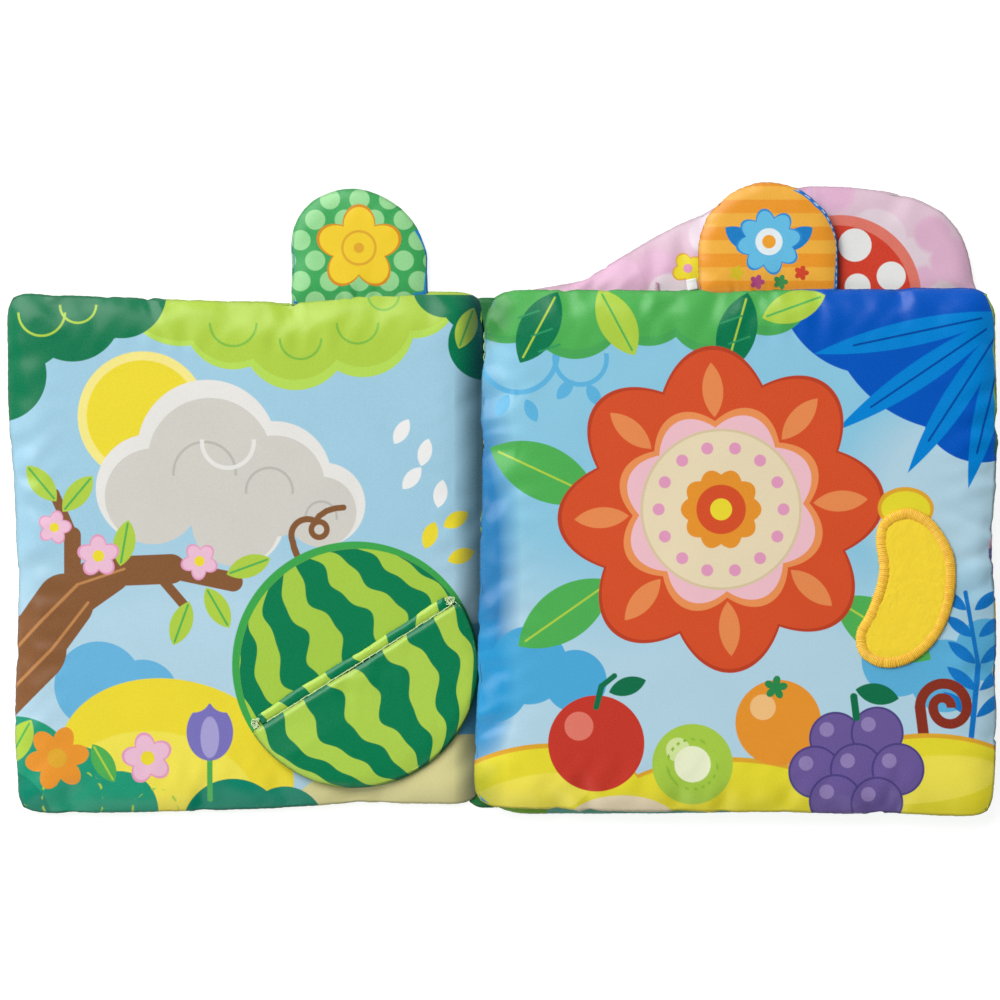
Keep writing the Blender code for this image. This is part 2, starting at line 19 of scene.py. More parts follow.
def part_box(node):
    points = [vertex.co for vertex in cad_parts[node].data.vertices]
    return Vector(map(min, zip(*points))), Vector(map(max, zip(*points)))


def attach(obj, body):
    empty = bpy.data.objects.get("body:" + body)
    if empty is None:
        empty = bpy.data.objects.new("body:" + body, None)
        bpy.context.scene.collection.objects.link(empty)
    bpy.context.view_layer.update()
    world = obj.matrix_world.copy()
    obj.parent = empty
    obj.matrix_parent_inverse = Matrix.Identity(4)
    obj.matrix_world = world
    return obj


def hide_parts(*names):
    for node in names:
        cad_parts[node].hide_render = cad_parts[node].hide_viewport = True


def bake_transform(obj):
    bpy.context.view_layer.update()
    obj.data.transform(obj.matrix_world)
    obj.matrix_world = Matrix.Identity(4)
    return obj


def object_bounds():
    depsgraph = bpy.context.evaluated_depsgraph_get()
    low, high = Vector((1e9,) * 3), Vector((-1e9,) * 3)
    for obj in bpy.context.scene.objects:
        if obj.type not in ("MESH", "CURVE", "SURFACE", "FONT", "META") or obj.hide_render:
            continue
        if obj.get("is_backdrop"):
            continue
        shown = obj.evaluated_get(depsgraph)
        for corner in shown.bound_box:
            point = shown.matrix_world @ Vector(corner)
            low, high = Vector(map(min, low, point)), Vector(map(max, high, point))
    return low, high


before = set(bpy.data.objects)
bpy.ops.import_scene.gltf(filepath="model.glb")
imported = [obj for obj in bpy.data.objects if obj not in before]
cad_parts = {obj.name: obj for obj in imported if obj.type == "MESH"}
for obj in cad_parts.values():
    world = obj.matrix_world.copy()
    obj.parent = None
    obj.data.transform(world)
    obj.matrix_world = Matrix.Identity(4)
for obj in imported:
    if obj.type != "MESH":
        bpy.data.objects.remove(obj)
cad_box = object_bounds()
MM = 0.001


# %% Putting things in the scene
def shown(name, data):
    """An object of a mesh, lamp, camera or curve, placed in the scene."""
    made = bpy.data.objects.new(name, data)
    bpy.context.collection.objects.link(made)
    return made


def smoothed(mesh):
    """One cloth all over, with soft shading."""
    for face in mesh.polygons:
        face.material_index, face.use_smooth = 0, True


def poured(shape, name):
    """Ends the work on a bmesh: it becomes a shown object."""
    mesh = bpy.data.meshes.new(name)
    shape.to_mesh(mesh)
    shape.free()
    return shown(name, mesh)


def solid_mesh(piece):
    """The mesh of a piece with its modifiers worked in."""
    return bpy.data.meshes.new_from_object(piece.evaluated_get(bpy.context.evaluated_depsgraph_get()))


# %% [markdown]
# ## Camera, floor and light
# The book is seen from straight above. A long lens from 1.6 m keeps the picture almost free of
# perspective, as in a catalogue. A wide lamp beyond the top of the pages rakes over them: it
# puts the soft shine on the rolled edges and shapes the folds. A weak lamp below the pages fills in.

# %% Camera
PICTURE_WIDTH = 385 * MM
PICTURE_CENTRE = (5.0 * MM, 19.6 * MM)
CAMERA_HEIGHT = 1.6
PAGE_LEVEL = 10 * MM
SENSOR = 36

camera = shown("camera", bpy.data.cameras.new("camera"))
camera.data.sensor_width = SENSOR
camera.data.lens = SENSOR * (CAMERA_HEIGHT - PAGE_LEVEL) / PICTURE_WIDTH
camera.data.clip_start = 0.05
camera.location = (*PICTURE_CENTRE, CAMERA_HEIGHT)
bpy.context.scene.camera = camera
bpy.context.scene.view_settings.view_transform = "Standard"
print("lens:", round(camera.data.lens, 1), "mm")


# %% Lamps
def lamp(name, place, size, power):
    """A square lamp that looks at the middle of the book."""
    made = shown(name, bpy.data.lights.new(name, "AREA"))
    made.data.size, made.data.energy = size, power
    made.location = place
    made.rotation_euler = (-Vector(place)).to_track_quat("-Z", "Y").to_euler()


lamp("window", (-0.98, 1.2, 1.84), 1.76, 58)
lamp("fill", (-0.7, -1.6, 1.9), 1.6, 13)

# %% [markdown]
# ## Shader maths as plain sums
# A print is made of simple shapes, and each shape is a distance: below zero inside, above zero
# outside. `Wire` wraps the output of a node, so that distances can be added and compared as
# numbers. `Finish` holds one material, with one method that makes any node.


# %% A wire that can be added up
class Wire:
    def __init__(self, finish, socket):
        self.finish, self.socket = finish, socket

    def sum(self, operation, *others):
        return self.finish.node("Math", {"operation": operation}, [self, *others])

    def __add__(self, other):
        return self.sum("ADD", other)

    def __sub__(self, other):
        return self.sum("SUBTRACT", other)

    def __mul__(self, other):
        return self.sum("MULTIPLY", other)

    def __truediv__(self, other):
        return self.sum("DIVIDE", other)

    def __rsub__(self, other):
        return self.finish.node("Math", {"operation": "SUBTRACT"}, [other, self])

    def __neg__(self):
        return self * -1

    __radd__, __rmul__ = __add__, __mul__

    def least(self, other):
        return self.sum("MINIMUM", other)

    def most(self, other):
        return self.sum("MAXIMUM", other)

    def size(self):
        return self.sum("ABSOLUTE")

    def wave(self):
        return self.sum("SINE")

    def reach(self, other):
        """Length of the slanted side over two legs."""
        return self.sum("MULTIPLY_ADD", self, other * other).sum("SQRT")


# %% [markdown]
# The prints keep to the colours of the real cloth: clear blues and greens, warm reds and a
# strong yellow. A screen's colour numbers are brighter than the light they stand for, so `dye`
# works them out for the shader.

# %% The colour card
INK = dict(
    sky="#a1cde2", pale_sky="#b4d6e6", far_hill="#68b5de", lime="#b0d047", leaf="#50b155",
    forest="#04784d", teal="#1f9a76", deep_teal="#00876a", yellow="#efdc35", lemon="#f3e552",
    gold="#e2a92f", sand="#e3dc9c", bark="#875a36", bark_line="#c08650", cloud="#d3d0c8",
    cloud_light="#e9e7e2", blush="#eebfd6", rose="#e59cbf", orange="#ea962f", lilac="#7b74bd",
    pale_lilac="#a9a3d6", royal="#0056bf", bright="#0084d6", navy="#0047a0", poppy="#d9522b",
    coral="#ee9457", cream="#ecdcb9", tail="#8b3322", plum="#6c5a9a", cherry="#c83a2c", white="#f1f1ef",
    salmon="#e37a6a", red="#d6432f", flesh="#e5584f", seed="#3a2620", melon_light="#a9ce48",
    melon_dark="#047d4f", melon_rim="#3fa84e", water="#68bfe6", cobalt="#0a7ad2",
)


def dye(card):
    """card is a name from the colour card, or a colour of its own."""
    card = INK.get(card, card)
    parts = [int(card[i : i + 2], 16) / 255 for i in (1, 3, 5)]
    return (*[p / 12.92 if p <= 0.04045 else ((p + 0.055) / 1.055) ** 2.4 for p in parts], 1)


# %% [markdown]
# `Finish` also knows the shapes that prints are made of. All of them are measured in
# millimetres on the cloth, read from Object coordinates, so a print stays on its cloth when a
# leaf turns.


# %% One finish and its shapes
INK_EDGE = 0.3  # mm over which one ink gives way to the next


def together(shapes):
    """All the ground that any of the shapes covers."""
    return functools.reduce(Wire.least, shapes)


class Nodes:
    def __init__(self, owner):
        owner.use_nodes = True
        self.tree = owner.node_tree

    def node(self, kind, settings=None, inputs=(), output=0):
        made = self.tree.nodes.new("ShaderNode" + kind)
        for name, value in (settings or {}).items():
            setattr(made, name, value)
        pairs = inputs.items() if isinstance(inputs, dict) else enumerate(inputs)
        for key, value in pairs:
            if isinstance(value, Wire):
                self.tree.links.new(value.socket, made.inputs[key])
            else:
                made.inputs[key].default_value = value
        return Wire(self, made.outputs[output])

    def vector(self, operation, *inputs, output=0):
        return self.node("VectorMath", {"operation": operation}, inputs, output)


class Finish(Nodes):
    def __init__(self, name, bends=False):
        """A cloth that bends reads its print from the attribute place, so that it isn't stretched."""
        self.material = bpy.data.materials.new(name)
        super().__init__(self.material)
        self.shader = self.tree.nodes["Principled BSDF"]
        place = self.painted("place", output=1) if bends else self.node("TexCoord", output=3)
        self.spot = self.vector("MULTIPLY", place, (1 / MM, 1 / MM, 0))
        self.depth = self.vector("MULTIPLY", place, (1 / MM, 1 / MM, 1 / MM))
        self.x, self.y, self.z = (self.vector("DOT_PRODUCT", self.depth, axis, output=1)
                                  for axis in ((1, 0, 0), (0, 1, 0), (0, 0, 1)))
        self.colour = None

    def mix(self, first, second, share, blend="MIX"):
        settings = {"data_type": "RGBA", "blend_type": blend}
        return self.node("Mix", settings, {0: share, 6: first, 7: second}, 2)

    def step(self, value, start, end, low=0.0, high=1.0):
        return self.node("MapRange", inputs=[value, start, end, low, high])

    def grain(self, scale, detail=2.0, rough=0.5):
        inputs = {"Vector": self.depth, "Scale": scale, "Detail": detail, "Roughness": rough}
        return self.node("TexNoise", {"normalize": True}, inputs)

    def painted(self, name, output=2):
        """What is stored on the points of the piece: a number, or a place with output=1."""
        return self.node("Attribute", {"attribute_name": name}, output=output)

    def tinted(self, card, share):
        self.colour = self.mix(self.colour, dye(card), share)

    def shaded(self, shade):
        self.colour = self.mix(self.colour, shade, 1.0, "MULTIPLY")

    def done(self, strength, relief, height, rough, **plain):
        """Links colour, relief (in mm) and roughness, and sets plain values such as Sheen_Weight."""
        bump = self.node("Bump", inputs={"Strength": strength, "Distance": relief * MM, "Height": height})
        for wire, socket in ((self.colour, "Base Color"), (bump, "Normal"), (rough, "Roughness")):
            self.tree.links.new(wire.socket, self.shader.inputs[socket])
        for name, value in plain.items():
            self.shader.inputs[name.replace("_", " ")].default_value = value
        return self.material

    # shapes: each gives a distance in millimetres, below zero inside
    def local(self, x, y, turn=0.0, wide=1.0, tall=1.0):
        """How far along and across a turned axis, as shares of wide and tall."""
        c, s = math.cos(math.radians(turn)), math.sin(math.radians(turn))
        moved = self.vector("SUBTRACT", self.spot, (x, y, 0))
        along = self.vector("DOT_PRODUCT", moved, (c / wide, s / wide, 0), output=1)
        return along, self.vector("DOT_PRODUCT", moved, (-s / tall, c / tall, 0), output=1)

    def disc(self, x, y, radius):
        return self.vector("DISTANCE", self.spot, (x, y, 0), output=1) - radius

    def oval(self, x, y, wide, tall, turn=0.0):
        along, across = self.local(x, y, turn, wide, tall)
        return (along.reach(across) - 1) * min(wide, tall)

    def cluster(self, *discs):
        return together(self.disc(*one) for one in discs)

    def leaf(self, x, y, length, width, turn=0.0):
        half, rise = length / 2, width / 2
        radius = (half * half + rise * rise) / (2 * rise)
        along, across = self.local(x, y, turn)
        return along.reach(across.size() + (radius - rise)) - radius

    def bar(self, x0, y0, x1, y1, width):
        length, turn = math.hypot(x1 - x0, y1 - y0), math.degrees(math.atan2(y1 - y0, x1 - x0))
        along, across = self.local((x0 + x1) / 2, (y0 + y1) / 2, turn)
        return (along.size() - length / 2).most(0.0).reach(across) - width / 2

    def stroke(self, *points):
        """points are (x, y, width), joined by round-ended bars."""
        return together(self.bar(*a[:2], *b[:2], (a[2] + b[2]) / 2) for a, b in zip(points, points[1:]))

    def ring(self, x, y, radius, width):
        return self.disc(x, y, radius).size() - width / 2

    def flower(self, x, y, radius, petals, depth=0.3, turn=0.0):
        along, across = self.local(x, y, turn)
        lobes = (across.sum("ARCTAN2", along) * (petals / 2)).sum("COSINE").size()
        return along.reach(across) - (lobes * depth + (1 - depth)) * radius

    def below(self, level, *waves):
        """The ground under a wavy line; a wave is (height, length, shift)."""
        line = self.y - level
        for height, length, shift in waves:
            line = line - ((self.x + shift) * (math.tau / length)).wave() * height
        return line

    def dots(self, pitch, row, radius, x=0.0, y=0.0):
        """Round dots in staggered rows."""
        half, minus = (pitch / 2, row, 0), (-pitch / 2, -row, 0)
        shifts = (x, y, 0), (x + half[0], y + row, 0)
        moved = (self.vector("SUBTRACT", self.spot, shift) for shift in shifts)
        cells = (self.vector("WRAP", one, half, minus) for one in moved)
        return together(self.vector("LENGTH", cell, output=1) for cell in cells) - radius

    # inks
    def ground(self, card):
        self.colour = self.node("RGB")
        self.colour.socket.default_value = dye(card)

    def ink(self, card, shape, share=1.0, edge=INK_EDGE):
        mask = shape.sum("MULTIPLY_ADD", -1 / edge, 0.5)  # Mix keeps its factor between 0 and 1
        if share < 1:
            mask = mask.least(1.0) * share
        self.colour = self.mix(self.colour, dye(card), mask)


print("shapes:", [n for n in vars(Finish) if not n.startswith("_")])

# %% [markdown]
# ## Sky and light table
# The room is dim overhead and bright beyond the top of the pages, so flat cloth keeps its full
# colour and only what turns towards the light shines. The floor is a light table: it glows a
# little itself, and the shadow of the book all but fades.

# %% Sky
SKY_LOW, SKY_HIGH = 0.03, 2.4
sky = bpy.data.worlds.new("studio")
room = Nodes(sky)
facing = room.node("TexCoord")
sideways = room.vector("DOT_PRODUCT", facing, (-0.7, 0.7, 0), output=1) * 0.5 + 0.5
level = (room.vector("DOT_PRODUCT", facing, (0, 0, 1), output=1) * -1 + 1).least(1.0).most(0.0)
background = sky.node_tree.nodes["Background"]
room.tree.links.new((level * level * sideways * SKY_HIGH + SKY_LOW).socket, background.inputs["Color"])
bpy.context.scene.world = sky

# %% [markdown]
# ## Cloth
# The pages are a smooth polyester satin: fine threads that only show close up, a soft sheen,
# and ink that is never quite even. `woven` turns the inks of a finish into such a cloth. The
# `seam` attribute of a piece is its distance from the nearest seam in millimetres. From it the
# ink gets painted shade in the ditch of the seam and along the rolled edge, and turns a little
# pale near the edge: partly rubbed wear from hands and the wash, partly a painted sheen band.


# %% Weave
MOTTLE = 0.06  # how much darker the ink is between the threads
WEAR_AND_SHEEN = 0.04  # how far the edge turns pale: partly rubbed wear, partly a painted sheen band
RUBBED_AND_SHEEN_INK = (0.93, 0.92, 0.90, 1)
SATIN_GLOSS = 0.27  # roughness


def woven(f, thread=0.55, relief=0.02, seam=True):
    """thread is the width of two threads in mm, relief their height."""
    warp, weft = (f.x * (math.tau / thread)).wave(), (f.y * (math.tau / thread)).wave()
    fuzz = f.grain(2.4, 3.0, 0.6)
    cloudy = f.grain(0.045)
    shade = f.step(fuzz, 0.25, 0.75, 1 - MOTTLE, 1.0) * f.step(cloudy, 0.3, 0.7, 0.965, 1.0)
    shade = shade * (warp * weft * 0.012 + 0.988)
    if seam:
        away = f.painted("seam")
        # painted shade: dark in the ditch of the seam, and a little darker within 8 mm, where the edge rolls
        # down
        shade = shade * (f.step(away, 0.0, 1.6, 0.74, 1.0) * f.step(away, 0.0, 8.0, 0.95, 1.0))
        # paler near the edge: partly rubbed wear, partly a painted sheen band
        rubbed_and_sheen = f.step(away, 0.5, 3.0, 1.0, 0.0) * f.step(f.grain(0.22, 4.0, 0.7), 0.42, 0.72)
        f.colour = f.mix(f.colour, RUBBED_AND_SHEEN_INK, rubbed_and_sheen * WEAR_AND_SHEEN)
    f.shaded(shade)
    rough = f.step(fuzz, 0.2, 0.8, SATIN_GLOSS - 0.06, SATIN_GLOSS + 0.08)
    return f.done(0.5, relief, warp * weft * 0.5 + fuzz * 0.9, rough,
                  Sheen_Weight=0.01, Sheen_Roughness=0.4, Specular_IOR_Level=0.28)


# %% [markdown]
# The table lies just under the book, with a trace of unevenness so that it is not a dead surface.

# %% Floor
FLOOR_DROP = 0.3 * MM
board = bmesh.new()
bmesh.ops.create_grid(board, x_segments=2, y_segments=2, size=2.0)
bmesh.ops.translate(board, verts=board.verts, vec=(0, 0, -FLOOR_DROP))
floor = poured(board, "floor")
chalk = Finish("light table")
chalk.ground("#8c8c8c")
chalk.shaded(chalk.step(chalk.grain(0.02), 0.3, 0.7, 0.985, 1.0))
chalk.tree.links.new(chalk.colour.socket, chalk.shader.inputs["Base Color"])
chalk.shader.inputs["Roughness"].default_value = 0.9
chalk.shader.inputs["Emission Color"].default_value = (1, 1, 1, 1)
chalk.shader.inputs["Emission Strength"].default_value = 0.84
floor.data.materials.append(chalk.material)
floor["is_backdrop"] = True

# %% [markdown]
# ## Sewing a padded leaf
# A real leaf is two cloths sewn together along the edge, turned right side out and filled. So
# the cage starts as one flat grid and its copy, turned over: their borders are merged, which is
# the seam. `sides` gives the cut as four edges, and the grid is stretched between them. The two
# sheets swell apart away from the seam, as a filled bag does.


# %% The cut of a cloth
def spaced(line, count):
    """count + 1 points spaced evenly along a line, and the length of the line."""
    steps = np.concatenate([[0], np.cumsum(np.linalg.norm(np.diff(line, axis=0), axis=1))])
    along = np.linspace(0, steps[-1], count + 1)
    return np.stack([np.interp(along, steps, line[:, i]) for i in (0, 1)], axis=1), steps[-1]


def side_points(points, count):
    """Evenly spaced points, in metres, along a side given in millimetres."""
    return spaced(np.array(points, float) * MM, count)[0]


def rounded(left, right, bottom, top, radius, corners=(True, True, True, True)):
    """Rounds the corners of a four-sided cut: bottom left, bottom right, top left, top right.
    Sides run upwards and to the right."""
    sides = {"left": list(left), "right": list(right), "bottom": list(bottom), "top": list(top)}
    places = (
        ("bottom", "left", 0, 0, 1, 1), ("bottom", "right", -1, 0, -1, 1),
        ("top", "left", 0, -1, 1, -1), ("top", "right", -1, -1, -1, -1),
    )
    for wanted, (flat, tall, flat_end, tall_end, to_x, to_y) in zip(corners, places):
        if not wanted:
            continue
        corner = sides[flat][flat_end]
        centre = (corner[0] + to_x * radius, corner[1] + to_y * radius)
        arc = [(centre[0] - to_x * radius * math.sin(a), centre[1] - to_y * radius * math.cos(a))
               for a in (math.pi / 4, math.pi / 8, 0.0)]
        rise = [(centre[0] - to_x * radius * math.cos(a), centre[1] - to_y * radius * math.sin(a))
                for a in (math.pi / 4, math.pi / 8, 0.0)]
        for name, end, new, axis in ((flat, flat_end, arc, 0), (tall, tall_end, rise, 1)):
            kept = [p for p in sides[name] if math.dist(p, corner) > radius * 1.05]
            sides[name] = new + kept if end == 0 else kept + new[::-1]
    return sides["left"], sides["right"], sides["bottom"], sides["top"]


def stretched(spots, sides, columns, rows):
    """Places grid spots (0 to 1) between four sides, which are (left, right, bottom, top)."""
    left, right = (side_points(s, rows) for s in sides[:2])
    bottom, top = (side_points(s, columns) for s in sides[2:])
    i, j = np.rint(spots[:, 0] * columns).astype(int), np.rint(spots[:, 1] * rows).astype(int)
    u, v = spots[:, :1], spots[:, 1:2]
    ends = (1 - u) * (1 - v) * bottom[0] + u * (1 - v) * bottom[-1] + (1 - u) * v * top[0] + u * v * top[-1]
    return (1 - v) * bottom[i] + v * top[i] + (1 - u) * left[j] + u * right[j] - ends


# %% [markdown]
# Half of the work is knowing how far each point is from the seam. `distance_to` measures that
# on the flat cut, and `finest` later measures it on the finished mesh.


# %% Distance to an edge
def distance_to(points, starts, ends):
    """Shortest distance from each point to a set of straight pieces."""
    along = ends - starts
    length = np.maximum((along * along).sum(1), 1e-12)
    found = np.full(len(points), 1e9)
    for k in range(len(starts)):
        share = np.clip(((points - starts[k]) @ along[k]) / length[k], 0, 1)
        gap = points - starts[k] - share[:, None] * along[k]
        found = np.minimum(found, np.sqrt((gap * gap).sum(1)))
    return found


def read(values, name, count):
    flat = np.empty(count * 3, np.float32)
    values.foreach_get(name, flat)
    return flat.reshape(-1, 3).astype(float)


def positions(mesh):
    return read(mesh.vertices, "co", len(mesh.vertices))


def normals_of(mesh):
    return read(mesh.vertex_normals, "vector", len(mesh.vertices))


def put_positions(mesh, points):
    mesh.vertices.foreach_set("co", np.asarray(points, np.float32).ravel())
    mesh.update()


# %% Two cloths sewn at their borders
ROLL_SHAPE = 0.7  # 0.5 is an ellipse, 1 a parabola
SINK_REACH = 6 * MM  # how far from the gutter a sunken seam draws the cloth down


def sewn_cage(name, columns, rows, place, low, high, roll, is_beside=None, roll_beside=None, sink=0.0):
    """place(spots) gives x and y. The cloths swell to low and high over the width roll. One side,
    found by the test is_beside, can have a roll of its own, and its seam can sink."""
    cage = bmesh.new()
    bmesh.ops.create_grid(cage, x_segments=columns, y_segments=rows, size=0.5)
    copy = bmesh.ops.duplicate(cage, geom=cage.verts[:] + cage.edges[:] + cage.faces[:])["geom"]
    under_faces = [g for g in copy if isinstance(g, bmesh.types.BMFace)]
    under = {g for g in copy if isinstance(g, bmesh.types.BMVert)}
    bmesh.ops.reverse_faces(cage, faces=under_faces)
    for face in under_faces:
        face.material_index = 1
    flat = place(np.array([v.co[:2] for v in cage.verts]) + 0.5)
    cage.verts.index_update()
    border = [e for e in cage.edges if e.is_boundary]
    starts = flat[[e.verts[0].index for e in border]]
    ends = flat[[e.verts[1].index for e in border]]
    beside = np.zeros(len(border), bool)
    if is_beside:
        beside = is_beside(starts) & is_beside(ends)
    share = distance_to(flat, starts[~beside], ends[~beside]) / roll
    lower = np.zeros(len(flat))
    if is_beside:
        away = distance_to(flat, starts[beside], ends[beside])
        share = np.minimum(share, away / roll_beside)
        lower = sink * np.exp(-((away / SINK_REACH) ** 2))
    swell = (1 - (1 - np.clip(share, 0, 1)) ** 2) ** ROLL_SHAPE
    for v, spot, full, drop in zip(cage.verts, flat, swell, lower):
        side = -1 if v in under else 1
        v.co = (spot[0], spot[1], max(low, (low + high) / 2 - drop + side * full * (high - low) / 2))
    crease = cage.edges.layers.float.new("crease_edge")
    bmesh.ops.remove_doubles(cage, verts=cage.verts, dist=0.01 * MM)
    for edge in cage.edges:
        if len({f.material_index for f in edge.link_faces}) == 2:
            edge[crease] = 1.0
    return poured(cage, name)


# %% [markdown]
# ## Letting the cloth find its folds
# Blender's Cloth takes the wrinkles from here. The middle of a leaf is held by its quilted
# filling, the edge is free, and the cloth is told to grow by about three parts in a hundred
# while a little air presses from inside. It buckles into small folds along the seam, just as
# satin does when its seam draws in. How far a point may move is capped, so that a leaf stays
# in its own space.


# %% Cloth simulation
HOLD = 1.6  # how firmly the filling holds the middle of a leaf
FREE_EDGE, HELD_FROM = 4 * MM, 30 * MM
SETTLING_FRAMES = 18


def settle(piece, growth, bending=0.7, air=1.7, cap=1.1 * MM):
    """growth is how much more cloth there is than room for it, cap how far a point may move."""
    mesh = piece.data
    rest = positions(mesh)
    rim = rim_edges(mesh)
    away = distance_to(rest[:, :2], rest[rim[:, 0], :2], rest[rim[:, 1], :2])
    group = piece.vertex_groups.new(name="held")
    for index, far in enumerate(away):
        firm = min(1.0, max(0.0, (far - FREE_EDGE) / (HELD_FROM - FREE_EDGE)))
        group.add([index], HOLD * firm, "REPLACE")
    cloth = piece.modifiers.new("settling", "CLOTH")
    facts = cloth.settings
    facts.quality, facts.mass = 6, 0.15
    facts.use_pressure, facts.uniform_pressure_force = True, air
    facts.shrink_min = -growth
    facts.tension_stiffness = facts.compression_stiffness = 15
    facts.shear_stiffness, facts.bending_stiffness = 5, bending
    facts.vertex_group_mass = "held"
    facts.effector_weights.gravity = 0
    cloth.collision_settings.use_collision = False
    for step in range(1, SETTLING_FRAMES + 1):
        bpy.context.scene.frame_set(step)
    settled = piece.evaluated_get(bpy.context.evaluated_depsgraph_get())
    moved = positions(settled.data) - rest
    far = np.linalg.norm(moved, axis=1)
    moved *= (np.tanh(far / cap) * cap / np.maximum(far, 1e-9))[:, None]
    piece.modifiers.remove(cloth)
    piece.vertex_groups.clear()
    bpy.context.scene.frame_set(1)
    put_positions(mesh, rest + moved)
    print(piece.name, "settled, furthest move", round(np.abs(moved).max() / MM, 2), "mm")


def rim_edges(mesh):
    """Edges where the two cloths of a sewn piece meet, as pairs of vertex numbers."""
    owner = {}
    for face in mesh.polygons:
        for key in face.edge_keys:
            owner.setdefault(key, set()).add(face.material_index)
    return np.array([key for key, cloths in owner.items() if len(cloths) == 2])


# %% [markdown]
# ## From cage to finished cloths
# The cage is subdivided until its faces are about a millimetre. Then come the small things: the
# puckers that the sewing thread draws (about one per stitch), a slow wobble of the edge, the
# ditch of the seam, and short tension folds that run inwards. Last, the piece is cut along the
# seam into its front and back cloth, and each gets the thickness of satin.

# %% Seam details
PUCKER_PITCH = 3.4 * MM
WOBBLE_PITCH = 17 * MM
NOTCH_PITCH = 3.1 * MM
CLOTH_THICKNESS = 0.4 * MM
TUCK = 0.6 * MM  # how far the reverse cloth draws in under the seam
NOTCH_FADE, PUCKER_FADE, WOBBLE_FADE = 1.6 * MM, 3.2 * MM, 9 * MM
DITCH_FADE, TUCK_FADE = 0.8 * MM, 2.2 * MM
CORE_EDGE = 12 * MM  # the filling starts this far from the seam
WRAP = 1.4 * MM  # how far the front cloth rolls round the edge
KEPT_APART = 0.55  # share of the swelling that no fold may press flat


def subdivided(piece, levels):
    fine = piece.modifiers.new("fine", "SUBSURF")
    fine.levels = fine.render_levels = levels
    mesh = solid_mesh(piece)
    piece.modifiers.clear()
    piece.data = mesh
    return mesh


def nearest_on_rim(points, rim_points, batch=4000):
    near, gap = np.empty(len(points), int), np.empty(len(points))
    for start in range(0, len(points), batch):
        some = slice(start, start + batch)
        apart = ((points[some, None, :] - rim_points[None]) ** 2).sum(2)
        near[some], gap[some] = apart.argmin(1), np.sqrt(apart.min(1))
    return near, gap


def ripple(points, pitch, seed):
    return np.array([noise.noise(Vector(p) / pitch + Vector((seed, 0, 0))) for p in points])


def tension_folds(points, facing, rim_points, outward, folds):
    """Each fold is (rim point number, skew, length, width, depth, side)."""
    lift = np.zeros(len(points))
    for start, skew, length, width, deep, side in folds:
        inward = -outward[start, :2] / max(np.linalg.norm(outward[start, :2]), 1e-9)
        c, s = math.cos(skew), math.sin(skew)
        inward = np.array([c * inward[0] - s * inward[1], s * inward[0] + c * inward[1]])
        offset = points[:, :2] - rim_points[start, :2]
        along = offset @ inward
        across = offset @ np.array([-inward[1], inward[0]])
        run = np.clip(along / length, -0.15, 1)
        fade = np.where(run > 0, (1 - run) ** 1.5, 1 + run / 0.15)
        groove = np.exp(-((across / width) ** 2)) - 0.55 * np.exp(-(((across - 1.7 * width) / width) ** 2))
        lift -= deep * groove * fade * (facing * side > 0)
    return lift


